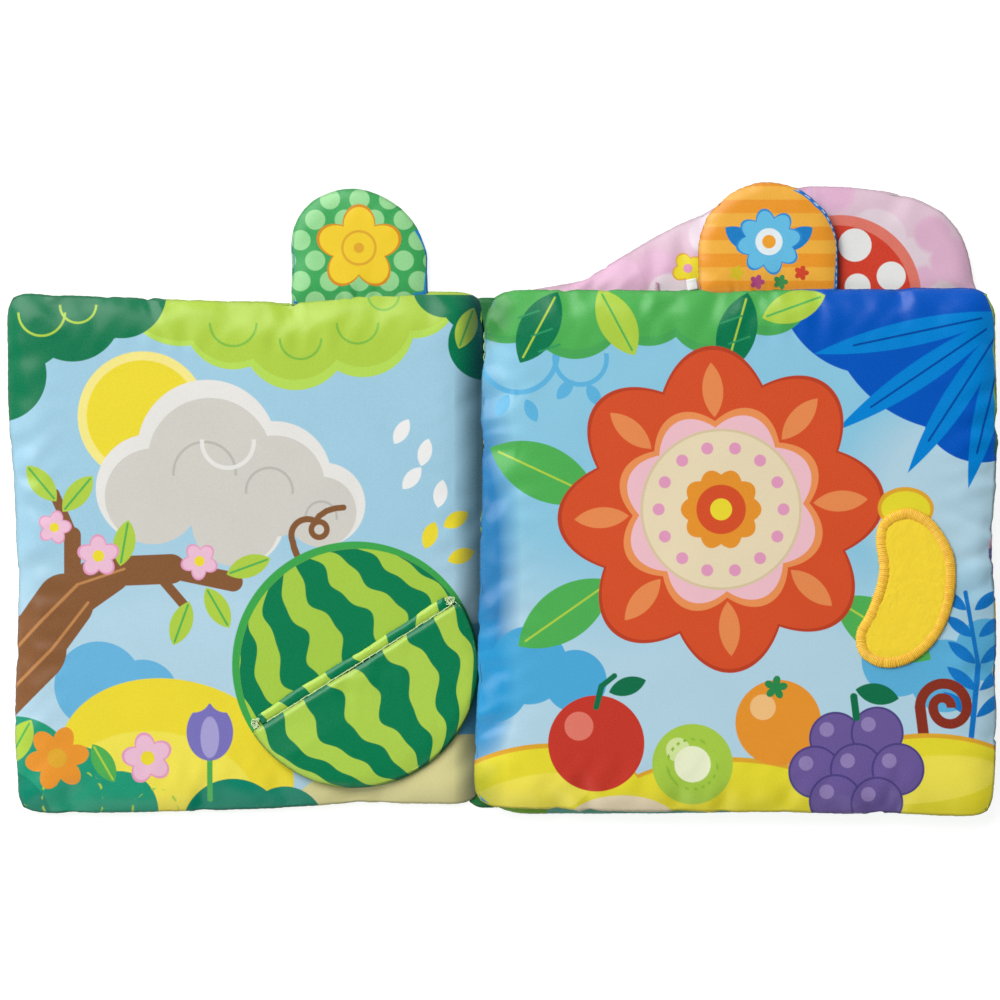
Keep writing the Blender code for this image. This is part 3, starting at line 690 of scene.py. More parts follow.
def finest(piece, levels=2, pucker=0.16, wobble=0.35, ditch=0.12, fold_count=24, seed=1, fold_depth=0.65,
           notch=0.05, thickest=1.0, low=None, high=None, rise=0.0, core=None, extra_folds=()):
    """Adds the small seam details and returns the front and the back cloth as two pieces. low and
    high bound the whole piece, but for folds that stand up by rise at most. core is the lowest
    and highest level that stay free for the filling. An extra fold is (x, y, skew in degrees,
    length, width, depth), in millimetres."""
    name = piece.name
    mesh = subdivided(piece, levels)
    rim = rim_edges(mesh)
    ids = np.unique(rim)
    points, normals = positions(mesh), normals_of(mesh)
    rim_points, outward = points[ids].copy(), normals[ids]
    near, gap = nearest_on_rim(points, rim_points)
    small = ripple(rim_points, PUCKER_PITCH, seed)[near]
    slow = ripple(rim_points, WOBBLE_PITCH, seed + 7.7)[near]
    side_to_side = np.abs(outward[:, 0]) < np.abs(outward[:, 1])
    run = np.where(side_to_side, rim_points[:, 0], rim_points[:, 1])
    notches = notch * np.sin(run / NOTCH_PITCH * math.tau)[near] * np.exp(-gap / NOTCH_FADE)
    push = notches + pucker * small * np.exp(-gap / PUCKER_FADE) + wobble * slow * np.exp(-gap / WOBBLE_FADE)
    push -= ditch * np.exp(-((gap / DITCH_FADE) ** 2))
    under = np.ones(len(points), bool)
    for face in mesh.polygons:
        if face.material_index == 0:
            under[list(face.vertices)] = False
    tuck = normals * [1, 1, 0] * (under * TUCK * np.exp(-gap / TUCK_FADE))[:, None]
    chance = random.Random(seed)
    folds = [(chance.randrange(len(ids)), chance.uniform(-0.7, 0.7), chance.uniform(10, 28) * MM,
              chance.uniform(1.9, 4.4) * MM, chance.uniform(0.35, 1.0) * fold_depth, chance.choice((1, -1)))
             for _ in range(fold_count)]
    for x, y, skew, length, width, deep in extra_folds:
        start = int(np.argmin(((rim_points[:, :2] - np.array([x, y]) * MM) ** 2).sum(1)))
        folds.append((start, math.radians(skew), length * MM, width * MM, deep, 1))
    push += tension_folds(points, normals[:, 2], rim_points, outward, folds)
    seam_level = rim_points[near, 2]
    apart = points[:, 2] - seam_level
    points += normals * (push * MM)[:, None] - tuck
    kept = seam_level + apart * KEPT_APART
    points[:, 2] = np.where(under, np.minimum(points[:, 2], kept), np.maximum(points[:, 2], kept))
    if low is not None:
        over_top, soft = points[:, 2] > high, max(rise, 0.01 * MM)
        points[over_top, 2] = high + rise * np.tanh((points[over_top, 2] - high) / soft)
        points[:, 2] = np.maximum(points[:, 2], low)
    if core is not None:
        over, inner = normals[:, 2] > 0, gap > CORE_EDGE
        points[inner & over, 2] = np.maximum(points[inner & over, 2], core[1])
        points[inner & ~over, 2] = np.minimum(points[inner & ~over, 2], core[0])
    put_positions(mesh, points)
    seam = mesh.attributes.new("seam", "FLOAT", "POINT")
    seam.data.foreach_set("value", (gap / MM).astype(np.float32))
    made = []
    for face in mesh.polygons:
        if gap[list(face.vertices)].max() < WRAP:
            face.material_index = 0
    for cloth in (0, 1):
        part = bmesh.new()
        part.from_mesh(mesh)
        bmesh.ops.delete(part, geom=[f for f in part.faces if f.material_index != cloth], context="FACES")
        one = poured(part, name + ("_front", "_back")[cloth])
        smoothed(one.data)
        thick = one.modifiers.new("satin", "SOLIDIFY")
        thick.thickness, thick.offset = min(CLOTH_THICKNESS, thickest), -1
        made.append(one)
    bpy.data.objects.remove(piece)
    print(name, "cloths:", [len(m.data.polygons) for m in made], "faces")
    return made


# %% [markdown]
# ## The three leaves
# No side of a sewn leaf is straight: the seams draw in, and the filling pulls the cloth up. The
# sides below are the seams' true lines in millimetres, from the lower left corner upwards and
# to the right. The back leaf's top side rises into the pink hill, whose steep end belongs to its
# right side, so that the grid runs smoothly round the shoulder.

# %% Cuts of the leaves
FRONT_SIDES = rounded(
    left=[(-181.4, -101.3), (-181.6, -94.2), (-182.6, -67.7), (-181.6, -39.3), (-181.1, -10.9),
          (-183.0, 27.0), (-184.9, 55.4), (-185.4, 83.8), (-185.5, 99.6)],
    right=[(-2.6, -97.7), (-2.4, -88.0), (-1.6, -45.0), (-1.1, 0.0), (-0.9, 50.0), (-0.9, 100.2)],
    bottom=[(-181.4, -101.3), (-162.0, -101.4), (-124.3, -100.8), (-86.4, -99.5), (-48.6, -97.4),
            (-12.0, -97.8), (-2.6, -97.7)],
    top=[(-185.5, 99.6), (-176.0, 99.2), (-160.0, 98.5), (-140.0, 97.7), (-120.0, 97.0),
         (-100.0, 96.4), (-77.0, 95.9), (-62.0, 97.2), (-45.0, 99.2), (-23.0, 100.0), (-0.9, 100.2)],
    radius=7.7,
)
MIDDLE_SIDES = rounded(
    left=[(-4.6, -98.4), (-4.6, -84.0), (-4.0, -65.0), (-3.3, -48.0), (-3.6, -34.0), (-2.4, 0.0),
          (-1.4, 40.0), (-2.2, 58.0), (-1.2, 76.0), (-0.4, 90.0), (0.6, 99.2)],
    right=[(194.6, -101.9), (195.4, -82.0), (195.9, -63.6), (196.2, -40.0), (195.4, -17.0),
           (194.0, -1.3), (195.0, 20.0), (196.4, 46.0), (195.9, 66.0), (195.3, 90.6), (194.6, 101.0)],
    bottom=[(-4.6, -98.4), (18.6, -99.2), (37.1, -99.9), (65.0, -100.1), (92.9, -100.3),
            (130.0, -100.7), (157.8, -101.0), (185.7, -101.8), (194.6, -101.9)],
    top=[(0.6, 99.2), (11.0, 100.1), (60.0, 100.3), (130.0, 100.6), (185.7, 101.0), (194.6, 101.0)],
    radius=7.7,
)
HILL_TOP = [(6.0, 97.0), (12.0, 99.4), (17.0, 100.6), (28.0, 102.6), (39.7, 106.3), (52.0, 113.2),
            (64.7, 120.8), (76.0, 126.7), (87.4, 132.0), (97.0, 136.8), (105.0, 139.4), (113.0, 140.6),
            (125.0, 140.9), (139.8, 140.3), (153.2, 138.9), (166.7, 135.6), (175.8, 130.9)]
HILL_END = [(194.9, 92.0), (193.6, 97.6), (190.6, 99.8), (188.8, 102.6), (188.0, 107.0), (186.7, 112.8),
            (184.7, 119.0), (181.4, 125.2), (175.8, 130.9)]
BACK_SIDES = rounded(
    left=[(1.0, -100.8), (0.9, 0.0), (1.0, 84.0), (2.4, 92.0), (6.0, 97.0)],
    right=[(194.6, -100.4), (195.0, -60.0), (195.0, 0.0), (195.0, 60.0)] + HILL_END,
    bottom=[(1.0, -100.8), (14.0, -101.5), (30.0, -101.5), (60.0, -101.3), (90.0, -101.1),
            (130.0, -100.6), (194.6, -100.4)],
    top=HILL_TOP,
    radius=7.7,
    corners=(True, True, False, False),
)

# %% Sew the leaves
LEAF_PITCH = 4.4 * MM  # side of a face in the cage
LEAF_WIDTH, LEAF_HEIGHT, HILL_LEAF_HEIGHT = 0.19, 0.2, 0.235
SEAM_ROLL = 14 * MM
GUTTER_ROLL = 19 * MM
FILLING_LOW, FILLING_HIGH = 0.25 * MM, 5.45 * MM


def at_gutter(points):
    return np.abs(points[:, 0]) < 8 * MM


def sewn_leaf(name, sides, bottom, thickness, rise, sink, seed, growth, **details):
    """rise is how far folds may stand above the leaf's thickness, sink how deep the gutter lies."""
    columns = round(LEAF_WIDTH / LEAF_PITCH)
    rows = round((HILL_LEAF_HEIGHT if name == "back" else LEAF_HEIGHT) / LEAF_PITCH)
    cage = sewn_cage(name, columns, rows, lambda spots: stretched(spots, sides, columns, rows),
                     bottom, bottom + thickness, SEAM_ROLL, at_gutter, GUTTER_ROLL, sink)
    settle(cage, growth)
    return finest(cage, seed=seed, low=bottom - 0.05 * MM, high=bottom + thickness, rise=rise,
                  core=(bottom + FILLING_LOW, bottom + FILLING_HIGH), **details)


front_page, front_cover = sewn_leaf(
    "front", FRONT_SIDES, 0.1 * MM, 6.0 * MM, 0.6 * MM, 2.4 * MM, 3, 0.018, fold_depth=0.3, wobble=0.25,
    extra_folds=[
        (-182, -8, 10, 24, 3.4, 0.5), (-182, 18, -20, 26, 3.4, 0.45), (-182, 40, 15, 20, 3.0, 0.35),
        (-182, -40, -12, 24, 3.6, 0.5), (-182, -66, 14, 20, 3.2, 0.4), (-185, 75, -10, 20, 3.0, 0.35),
        (-131, 97, 24, 16, 1.6, 0.7), (-76, 97, 12, 12, 1.8, 0.6), (-100, 96, -20, 14, 2.6, 0.2),
        (-160, -101, 12, 20, 3.0, 0.4), (-110, -100, -16, 22, 3.2, 0.45), (-40, -98, 10, 20, 3.0, 0.45),
        (-1, 60, 12, 18, 3.4, 0.5), (-1, 10, -14, 18, 3.0, 0.5), (-2, -80, 20, 18, 3.0, 0.5),
    ],
)
middle_page, middle_reverse = sewn_leaf(
    "middle", MIDDLE_SIDES, 6.45 * MM, 6.0 * MM, 0.2 * MM, 0.0, 5, 0.026,
    extra_folds=[
        (194, -1, 12, 30, 3.0, 1.0), (195, 8, -18, 24, 2.4, 0.8), (195, -12, 20, 26, 2.6, 0.8),
        (195, 30, 10, 24, 3.0, 0.8), (196, 48, -14, 26, 3.4, 0.9), (196, 62, 16, 22, 2.8, 0.8),
        (195, -45, 12, 22, 3.0, 0.7), (195, -74, -14, 24, 3.2, 0.8), (108, 100, 4, 18, 2.8, 0.7),
        (90, 100, -20, 16, 2.4, 0.6), (125, 100, 20, 16, 2.4, 0.6), (160, 101, -12, 18, 3.0, 0.7),
        (30, 100, 16, 20, 3.0, 0.7), (60, 100, -10, 16, 2.6, 0.6), (0, 85, -48, 30, 3.4, 1.0),
        (0, 76, -38, 26, 3.0, 0.9), (-1, 40, -12, 24, 3.2, 0.8), (-3, -30, 15, 26, 3.4, 0.8),
        (-4, -70, 25, 26, 3.2, 0.9), (40, -100, 14, 22, 3.2, 0.8), (90, -100, -12, 22, 3.0, 0.7),
        (150, -101, 18, 24, 3.4, 0.8),
    ],
)
back_page, back_cover = sewn_leaf(
    "back", BACK_SIDES, 0.1 * MM, 5.9 * MM, 0.1 * MM, 0.0, 8, 0.018,
    fold_count=30, fold_depth=0.45, wobble=0.2, pucker=0.1,
)

# %% [markdown]
# ## The two tabs and the flap
# A tab is a half round on a short straight foot. A grid is bent into a half disc by drawing its
# rows and columns into arcs, so that no face is squeezed to a point. Both tabs start at the seam
# of their leaf and bend with it.


# %% Discs from grids
def to_disc(a, b):
    """A square from -1 to 1 to a disc of radius 1."""
    return np.stack([a * np.sqrt(1 - b * b / 2), b * np.sqrt(1 - a * a / 2)], axis=1)


def half_disc(spots):
    """Grid spots (0 to 1) to a half disc of radius 1 above the x axis."""
    return to_disc(2 * spots[:, 0] - 1, spots[:, 1])


FOOT_SHARE = 0.36  # share of a tab's rows that make its straight foot
TAB_THICKNESS = 3.0
TAB_ROLL = 8.5 * MM


def tab_place(spots, centre, half_width, rise, lean, foot):
    """foot is the line that the tab starts from, as (x, y) points."""
    upper = np.clip((spots[:, 1] - FOOT_SHARE) / (1 - FOOT_SHARE), 0, 1)
    lower = np.clip(spots[:, 1] / FOOT_SHARE, 0, 1)
    disc = half_disc(np.stack([spots[:, 0], upper], axis=1))
    x = centre[0] + disc[:, 0] * half_width - lean * disc[:, 1]
    line = np.array(foot)
    start = np.interp(x, line[:, 0], line[:, 1])
    y = start + (centre[1] - start) * lower + disc[:, 1] * rise
    return np.stack([x, y], axis=1) * MM


def sewn_tab(name, level, seed, notch, folds, **shape):
    """level is the height of the tab's middle in millimetres."""
    cage = sewn_cage(name, 16, 14, lambda spots: tab_place(spots, **shape),
                     (level - TAB_THICKNESS / 2) * MM, (level + TAB_THICKNESS / 2) * MM, TAB_ROLL)
    settle(cage, growth=0.03, bending=0.4, air=1.0, cap=0.55 * MM)
    return finest(cage, pucker=0.07, wobble=0.4, notch=notch, fold_count=10, seed=seed, fold_depth=0.3,
                  extra_folds=folds)


left_tab = sewn_tab(
    "left_tab", 3.1, 11, 0.02,
    [(-50, 98, 0, 12, 1.5, 0.5), (-55, 98, 12, 10, 1.3, 0.4), (-44, 99, -14, 10, 1.3, 0.4)],
    centre=(-49.3, 113.6), half_width=26.0, rise=26.0, lean=3.6,
    foot=[(-76, 94.8), (-62, 95.4), (-45, 97.2), (-22, 98.8)],
)
right_tab = sewn_tab(
    "right_tab", 9.4, 12, 0.07,
    [(104, 101, 8, 12, 1.5, 0.5), (112, 101, -8, 11, 1.4, 0.45), (96, 101, 14, 9, 1.2, 0.4)],
    centre=(108.3, 115.4), half_width=26.6, rise=26.2, lean=0.0,
    foot=[(80, 99.2), (136, 99.6)],
)

# %% The round flap
FLAP_CENTRE = (-50.8, -44.0)
FLAP_DEGREES = 32.2
FLAP_TURN = math.radians(FLAP_DEGREES)
FLAP_RADIUS = 47.0
FOLD_GAP = 0.7
ALONG = np.array([math.cos(FLAP_TURN), math.sin(FLAP_TURN)])  # the direction of the hem
AWAY = np.array([math.sin(FLAP_TURN), -math.cos(FLAP_TURN)])  # from the hem into the flap


def flap_spot(along, away):
    """A place on the flap, in millimetres along the hem and away from it."""
    return np.array(FLAP_CENTRE) + along * ALONG + away * AWAY


def flap_place(spots):
    """The rows lie closer together beside the hem, where the cloth rolls most."""
    disc = half_disc(spots)
    reach = np.sqrt(np.maximum(1 - disc[:, :1] ** 2, 1e-6))
    share = np.clip(disc[:, 1:] / reach, 0, 1)
    away = FOLD_GAP + reach * share * (0.4 + 0.6 * share) * (FLAP_RADIUS - FOLD_GAP)
    return flap_spot(-disc[:, :1] * FLAP_RADIUS, away) * MM


def at_hem(points):
    return (points / MM - FLAP_CENTRE) @ AWAY < FOLD_GAP + 0.3


flap_cage = sewn_cage("flap", 26, 14, flap_place, 6.9 * MM, 8.6 * MM, 3.2 * MM, at_hem, 1.0 * MM)
settle(flap_cage, growth=0.02, bending=0.6, air=0.8, cap=0.35 * MM)
flap_front, flap_reverse = finest(flap_cage, pucker=0.12, wobble=0.3, ditch=0.1, fold_count=12, seed=21,
                                  fold_depth=0.16, thickest=0.25 * MM,
                                  low=6.8 * MM, high=8.65 * MM, rise=0.25 * MM)

CURL_START, CURL_LENGTH, CURL_WIDTH = -4, 36, 16
CURL_HEIGHT = 1.5


def curl_corner(mesh):
    """The lower left of the flap has curled up a little."""
    spots = positions(mesh)
    along, away = ((spots[:, :2] / MM - FLAP_CENTRE) @ axis for axis in (ALONG, AWAY))
    low_left = np.clip((CURL_START - along) / CURL_LENGTH, 0, 1) * np.clip(away / CURL_WIDTH, 0, 1)
    spots[:, 2] += low_left ** 1.4 * CURL_HEIGHT * MM
    put_positions(mesh, spots)


for piece in (flap_front, flap_reverse):
    curl_corner(piece.data)
print("flap top:", round(positions(flap_front.data)[:, 2].max() / MM, 2), "mm")

# %% [markdown]
# ## The hem, its stitches and the bar tacks
# The straight side of the flap is turned over into a narrow hem and sewn down with one row of
# green thread. The hem is a flat grid, rolled along its long sides. The thread is drawn as
# short curves that dip into the cloth at each needle hole, and every curve is then given its
# round thickness. At both ends a small knot of loops stops the seam from tearing.

# %% Hem of the flap
HEM_WIDTH = 4.1
HEM_REACH = 42.6
HEM_OVERLAP = 0.35


def hem_place(spots):
    """No hem is quite straight: its fold bows by about a third of a millimetre."""
    along = (2 * spots[:, :1] - 1) * -HEM_REACH
    bow = 0.35 * np.sin(along * 0.09 + 0.6) + 0.18 * np.sin(along * 0.31)
    away = -HEM_WIDTH + HEM_OVERLAP + bow * (1 - spots[:, 1:2]) + spots[:, 1:2] * HEM_WIDTH
    return flap_spot(along, away) * MM


def uneven(mesh, height):
    """Pushes every point along its normal, by heights in metres that height(points) gives."""
    points = positions(mesh)
    put_positions(mesh, points + normals_of(mesh) * height(points)[:, None])
    smoothed(mesh)


hem_cage = sewn_cage("hem", 44, 4, hem_place, 6.45 * MM, 7.7 * MM, 1.3 * MM)
uneven(subdivided(hem_cage, 2), lambda points: 0.12 * MM * ripple(points, 2.6 * MM, 4))
print("hem:", len(hem_cage.data.polygons), "faces")


# %% Threads as curves
def threads(name, paths, radius, sides=2):
    """Round threads along paths of points in metres, as one mesh."""
    line = bpy.data.curves.new(name, "CURVE")
    line.dimensions = "3D"
    line.bevel_depth, line.bevel_resolution = radius, sides
    line.use_fill_caps = True
    for path in paths:
        spline = line.splines.new("POLY")
        spline.points.add(len(path) - 1)
        for point, spot in zip(spline.points, path):
            point.co = (*spot, 1)
    holder = shown(name, line)
    mesh = solid_mesh(holder)
    bpy.data.objects.remove(holder)
    smoothed(mesh)
    print(name, len(paths), "threads,", len(mesh.polygons), "faces")
    return shown(name, mesh)


def on_flap(along, away, level):
    return tuple(c * MM for c in (*flap_spot(along, away), level))


# %% Row of stitches
STITCH_PITCH = 3.1
STITCH_LEVEL = 7.05  # the needle holes; a stitch rises from here and dips back
THREAD_RADIUS = 0.21 * MM
chance = random.Random(5)
row = []
for k in range(-13, 14):
    start, drift = k * STITCH_PITCH, chance.uniform(-0.12, 0.12)
    row.append([on_flap(start + STITCH_PITCH * 0.92 * t, 0.25 + drift,
                        STITCH_LEVEL + 0.75 * math.sin(math.pi * t) ** 0.6)
                for t in (0.0, 0.12, 0.25, 0.5, 0.75, 0.88, 1.0)])
    # the loop of the lower thread, pulled up at the needle hole
    row.append([on_flap(start - 0.15 + t * 0.25, 0.05 + (1.5 - 1.6 * t) * chance.uniform(0.5, 0.8),
                        STITCH_LEVEL - 0.05 + 0.7 * math.sin(math.pi * t)) for t in (0.0, 0.3, 0.6, 1.0)])
stitches = threads("flap_stitches", row, THREAD_RADIUS)


# %% Bar tacks at both ends of the hem
KNOT_LOOPS = 7
LOOP_STEPS = 14


def knot(name, along, away, seed):
    """Loose ovals of thread over each other, each a little higher than the last."""
    chance = random.Random(seed)
    paths = []
    for k in range(KNOT_LOOPS):
        centre = (along + chance.uniform(-0.6, 0.6), away + chance.uniform(-1.2, 1.2))
        wide, tall = chance.uniform(0.6, 1.0), chance.uniform(1.0, 1.7)
        turn = chance.uniform(0, math.pi)
        loop = []
        for step in range(LOOP_STEPS + 1):
            angle = step / LOOP_STEPS * math.tau * 0.9
            a, b = wide * math.cos(angle), tall * math.sin(angle)
            loop.append(on_flap(centre[0] + a * math.cos(turn) - b * math.sin(turn),
                                centre[1] + a * math.sin(turn) + b * math.cos(turn),
                                6.9 + 0.14 * k + 0.35 * math.sin(angle * 1.5)))
        paths.append(loop)
    return threads(name, paths, 0.17 * MM)


tack_lower = knot("tack_lower", -44.6, -0.9, 31)
tack_upper = knot("tack_upper", 44.3, -0.6, 32)

# %% [markdown]
# ## The stitched-on fruit
# The patch is a piece of plush with a raised satin border. Its outline is a closed line of
# fourteen knots, smoothed with a spline in plain sums. The plush fills it as a soft mound. The
# border is one long grid bent into a ring and closed on itself, and its ridges are the single
# threads, which lie across the line as they do in machine satin stitch.

# %% Outline of the fruit
FRUIT_KNOTS = [(157.4, 15.6), (151.2, 11.4), (149.4, 4.3), (150.6, -8.4), (146.6, -22.0), (141.9, -31.6),
               (143.6, -40.3), (152.4, -44.9), (163.4, -42.6), (173.4, -33.6), (179.2, -19.6),
               (179.6, -2.4), (172.6, 10.6), (164.4, 15.9)]


def closed_line(knots, steps):
    """A smooth closed line through the knots, as an array of points."""
    knots = [np.array(k, float) for k in knots]
    made = []
    for i, here in enumerate(knots):
        before, after, next_one = knots[i - 1], knots[(i + 1) % len(knots)], knots[(i + 2) % len(knots)]
        for k in range(steps):
            t = k / steps
            made.append(0.5 * (2 * here + (after - before) * t
                               + (2 * before - 5 * here + 4 * after - next_one) * t * t
                               + (3 * here - before - 3 * after + next_one) * t ** 3))
    return np.array(made)


def outward_of(line, middle):
    """Directions square to a closed line, away from its middle."""
    tangents = np.roll(line, -1, axis=0) - np.roll(line, 1, axis=0)
    tangents /= np.linalg.norm(tangents, axis=1)[:, None]
    outward = np.stack([tangents[:, 1], -tangents[:, 0]], axis=1)
    return outward if ((line - middle) * outward).sum() > 0 else -outward


FRUIT_POINTS = 1100
fruit_rough = closed_line(FRUIT_KNOTS, 24)
fruit_line, fruit_round = spaced(np.vstack([fruit_rough, fruit_rough[:1]]), FRUIT_POINTS)
fruit_line = fruit_line[:-1]
print("border is", round(fruit_round, 1), "mm long")

# %% Plush inside the border
PATCH_LEVEL = 12.75
BORDER_WIDTH = 4.5
BORDER_HEIGHT = 1.2
fruit_middle = np.array([163.5, -14.0])


def fruit_place(spots):
    """Grid spots to a disc, whose rim is then pushed out to the border's middle line."""
    disc = to_disc(2 * spots[:, 0] - 1, 2 * spots[:, 1] - 1)
    spokes = fruit_line - fruit_middle
    turns = np.arctan2(spokes[:, 1], spokes[:, 0])
    order = np.argsort(turns)
    reach = np.linalg.norm(spokes, axis=1) - BORDER_WIDTH * 0.55
    radius = np.interp(np.arctan2(disc[:, 1], disc[:, 0]), turns[order], reach[order], period=math.tau)
    return (fruit_middle + disc * radius[:, None]) * MM


plush_cage = sewn_cage("plush", 22, 30, fruit_place, PATCH_LEVEL * MM, (PATCH_LEVEL + 0.95) * MM, 3.0 * MM)
uneven(subdivided(plush_cage, 2),
       lambda points: 0.08 * MM * (ripple(points, 1.1 * MM, 3) + 0.6 * ripple(points, 4.5 * MM, 9)))
print("plush:", len(plush_cage.data.polygons), "faces")


# %% Satin border as a closed ring
SATIN_THREAD = 0.72
AROUND_BORDER = 12


def satin_ring(name, line, length, width, height, level):
    """A ridged cord with a flat foot along a closed line in millimetres. The attribute groove is
    how deep each point lies between two threads, and more at the inner foot."""
    count, strands, around = len(line), round(length / SATIN_THREAD), AROUND_BORDER
    outward = outward_of(line, line.mean(0))
    ring = bmesh.new()
    bmesh.ops.create_grid(ring, x_segments=count, y_segments=around, size=0.5)
    chance = random.Random(8)
    pull = [chance.uniform(-1, 1) for _ in range(strands + 1)]
    groove = ring.verts.layers.float.new("groove")
    for v in ring.verts:
        i = round((v.co.x + 0.5) * count) % count
        angle = (v.co.y + 0.5) * math.tau
        along = i / count * strands
        twist, tight = math.sin(along * math.tau), pull[int(along)]
        ridge = 0.10 * twist + 0.10 * tight
        across = math.cos(angle) * (width / 2 + ridge)
        rise = max(math.sin(angle), -0.25) * (height * 0.8 + 0.6 * ridge) + height * 0.2
        spot = line[i] + outward[i] * across
        v.co = (spot[0] * MM, spot[1] * MM, (level + rise) * MM)
        foot = max(0.0, (-math.cos(angle) - 0.72) / 0.28)
        v[groove] = min(1.0, 0.45 - 0.45 * twist + 0.25 * tight + 0.8 * foot)
    bmesh.ops.remove_doubles(ring, verts=ring.verts, dist=0.002 * MM)
    bmesh.ops.recalc_face_normals(ring, faces=ring.faces)
    piece = poured(ring, name)
    smoothed(piece.data)
    print(name, len(piece.data.polygons), "faces")
    return piece


border_line = fruit_line - outward_of(fruit_line, fruit_middle) * BORDER_WIDTH / 2
satin = satin_ring("fruit_border", border_line, fruit_round, BORDER_WIDTH, BORDER_HEIGHT, PATCH_LEVEL)

# %% [markdown]
# ## Ribbon, hill tack and spine
# Three small things that a maker would miss: the cut end of a ribbon in the top seam, the
# zigzag that ties the foot of the hill, and the wide tape under the gutter. The leaves are sewn
# on that tape, so it bends round the back when the front leaf closes.


# %% Strips of cloth
def strip(name, corners, columns, rows, thickness, wave=0.0, pitch=3.0, seed=2, arch=0.0, radius=0.0):
    """A thin cloth between four corners (mm, in order round it), rippled and solid. A radius rounds
    the corners of an upright one."""
    cloth = bmesh.new()
    bmesh.ops.create_grid(cloth, x_segments=columns, y_segments=rows, size=0.5)
    a, b, c, d = (Vector(corner) * MM for corner in corners)
    for v in cloth.verts:
        u, w = v.co.x + 0.5, v.co.y + 0.5
        spot = (a * (1 - u) + b * u) * (1 - w) + (d * (1 - u) + c * u) * w
        core = Vector([min(max(spot[k], a[k] + radius * MM), c[k] - radius * MM) for k in (0, 1)])
        if radius and (spot.xy - core).length > radius * MM:
            spot.xy = core + (spot.xy - core).normalized() * radius * MM
        spot.z += wave * MM * noise.noise(spot / (pitch * MM) + Vector((seed, 0, 0)))
        spot.z += arch * MM * math.sin(math.pi * u)
        v.co = spot
    piece = poured(cloth, name)
    smoothed(piece.data)
    thick = piece.modifiers.new("thickness", "SOLIDIFY")
    thick.thickness, thick.offset = thickness * MM, 0
    return piece


ribbon = strip("ribbon_end", [(77.3, 100.2, 9.6), (81.3, 100.9, 9.6), (80.5, 105.1, 9.9), (76.6, 104.3, 9.9)],
               10, 10, 0.3, wave=0.12, pitch=1.6, arch=0.35)
SPINE_HALF, SPINE_FOOT, SPINE_HEAD, SPINE_LEVEL = 8.4, -99.6, 98.0, 0.2
spine_corners = [(x, y, SPINE_LEVEL) for x, y in (
    (-SPINE_HALF, SPINE_FOOT), (SPINE_HALF, SPINE_FOOT), (SPINE_HALF, SPINE_HEAD), (-SPINE_HALF, SPINE_HEAD))]
spine = strip("spine_cloth", spine_corners, 28, 90, 0.32, wave=0.05, pitch=9.0, seed=6, radius=7.0)

ZIGZAG_MIDDLE, ZIGZAG_WIDTH, ZIGZAG_FOOT, ZIGZAG_PITCH = 65.55, 1.5, 99.2, 0.52
zigzag = [(ZIGZAG_MIDDLE + (k % 2 - 0.5) * ZIGZAG_WIDTH, ZIGZAG_FOOT + ZIGZAG_PITCH * k) for k in range(9)]
hill_tack = threads("hill_zigzag", [
    [(x * MM, y * MM, (6.75 + 0.2 * (k % 2)) * MM) for k, (x, y) in enumerate(zigzag)],
    [((x + 0.25) * MM, (y + 0.2) * MM, (6.65 + 0.2 * ((k + 1) % 2)) * MM) for k, (x, y) in enumerate(zigzag)],
], 0.17 * MM)

# %% [markdown]
# ## Gutter binding and its seam
# Between the leaves stands a narrow folded strip, which takes the sewing of all three. It is a
# flat bag like the leaves, only stood on edge. Long machine stitches run along its left side.

# %% Binding and gutter stitches
BINDING_SIZE = np.array([7.2, 180.0])
BINDING_HALF = 0.55 * MM
BINDING_MIDDLE = 4.5 * MM
binding = sewn_cage("binding", 4, 60, lambda spots: (spots - 0.5) * BINDING_SIZE * MM,
                    -BINDING_HALF, BINDING_HALF, 2 * BINDING_HALF)
flat_points = positions(binding.data)
upright = np.stack([flat_points[:, 2], flat_points[:, 1], flat_points[:, 0] + BINDING_MIDDLE], axis=1)
upright[:, 0] += 0.08 * MM * ripple(upright, 6 * MM, 5)
put_positions(binding.data, upright)
binding.data.flip_normals()
smoothed(subdivided(binding, 1))

GUTTER_PITCH, GUTTER_STITCH = 4.05, 3.5
gutter_row = [
    [(-(0.85 + 0.4 * math.sin(math.pi * t)) * MM, (k * GUTTER_PITCH + GUTTER_STITCH * t) * MM, 6.3 * MM)
     for t in (0.0, 0.1, 0.3, 0.5, 0.7, 0.9, 1.0)] for k in range(-21, 21)]
gutter_stitches = threads("gutter_stitches", gutter_row, 0.2 * MM)

# %% [markdown]
# ## What is inside
# Wadding keeps a leaf soft and a loose film makes it rustle. Nobody sees them, but a book that
# is opened up has them. Both follow the outline of their leaf, drawn in from the seam, in the
# place that the solid gives. The wadding is lumpy; the film has the sharp small creases of a
# sheet that has been crumpled and spread again.


# %% Fillings and films
LEAST_ROLL = 0.4


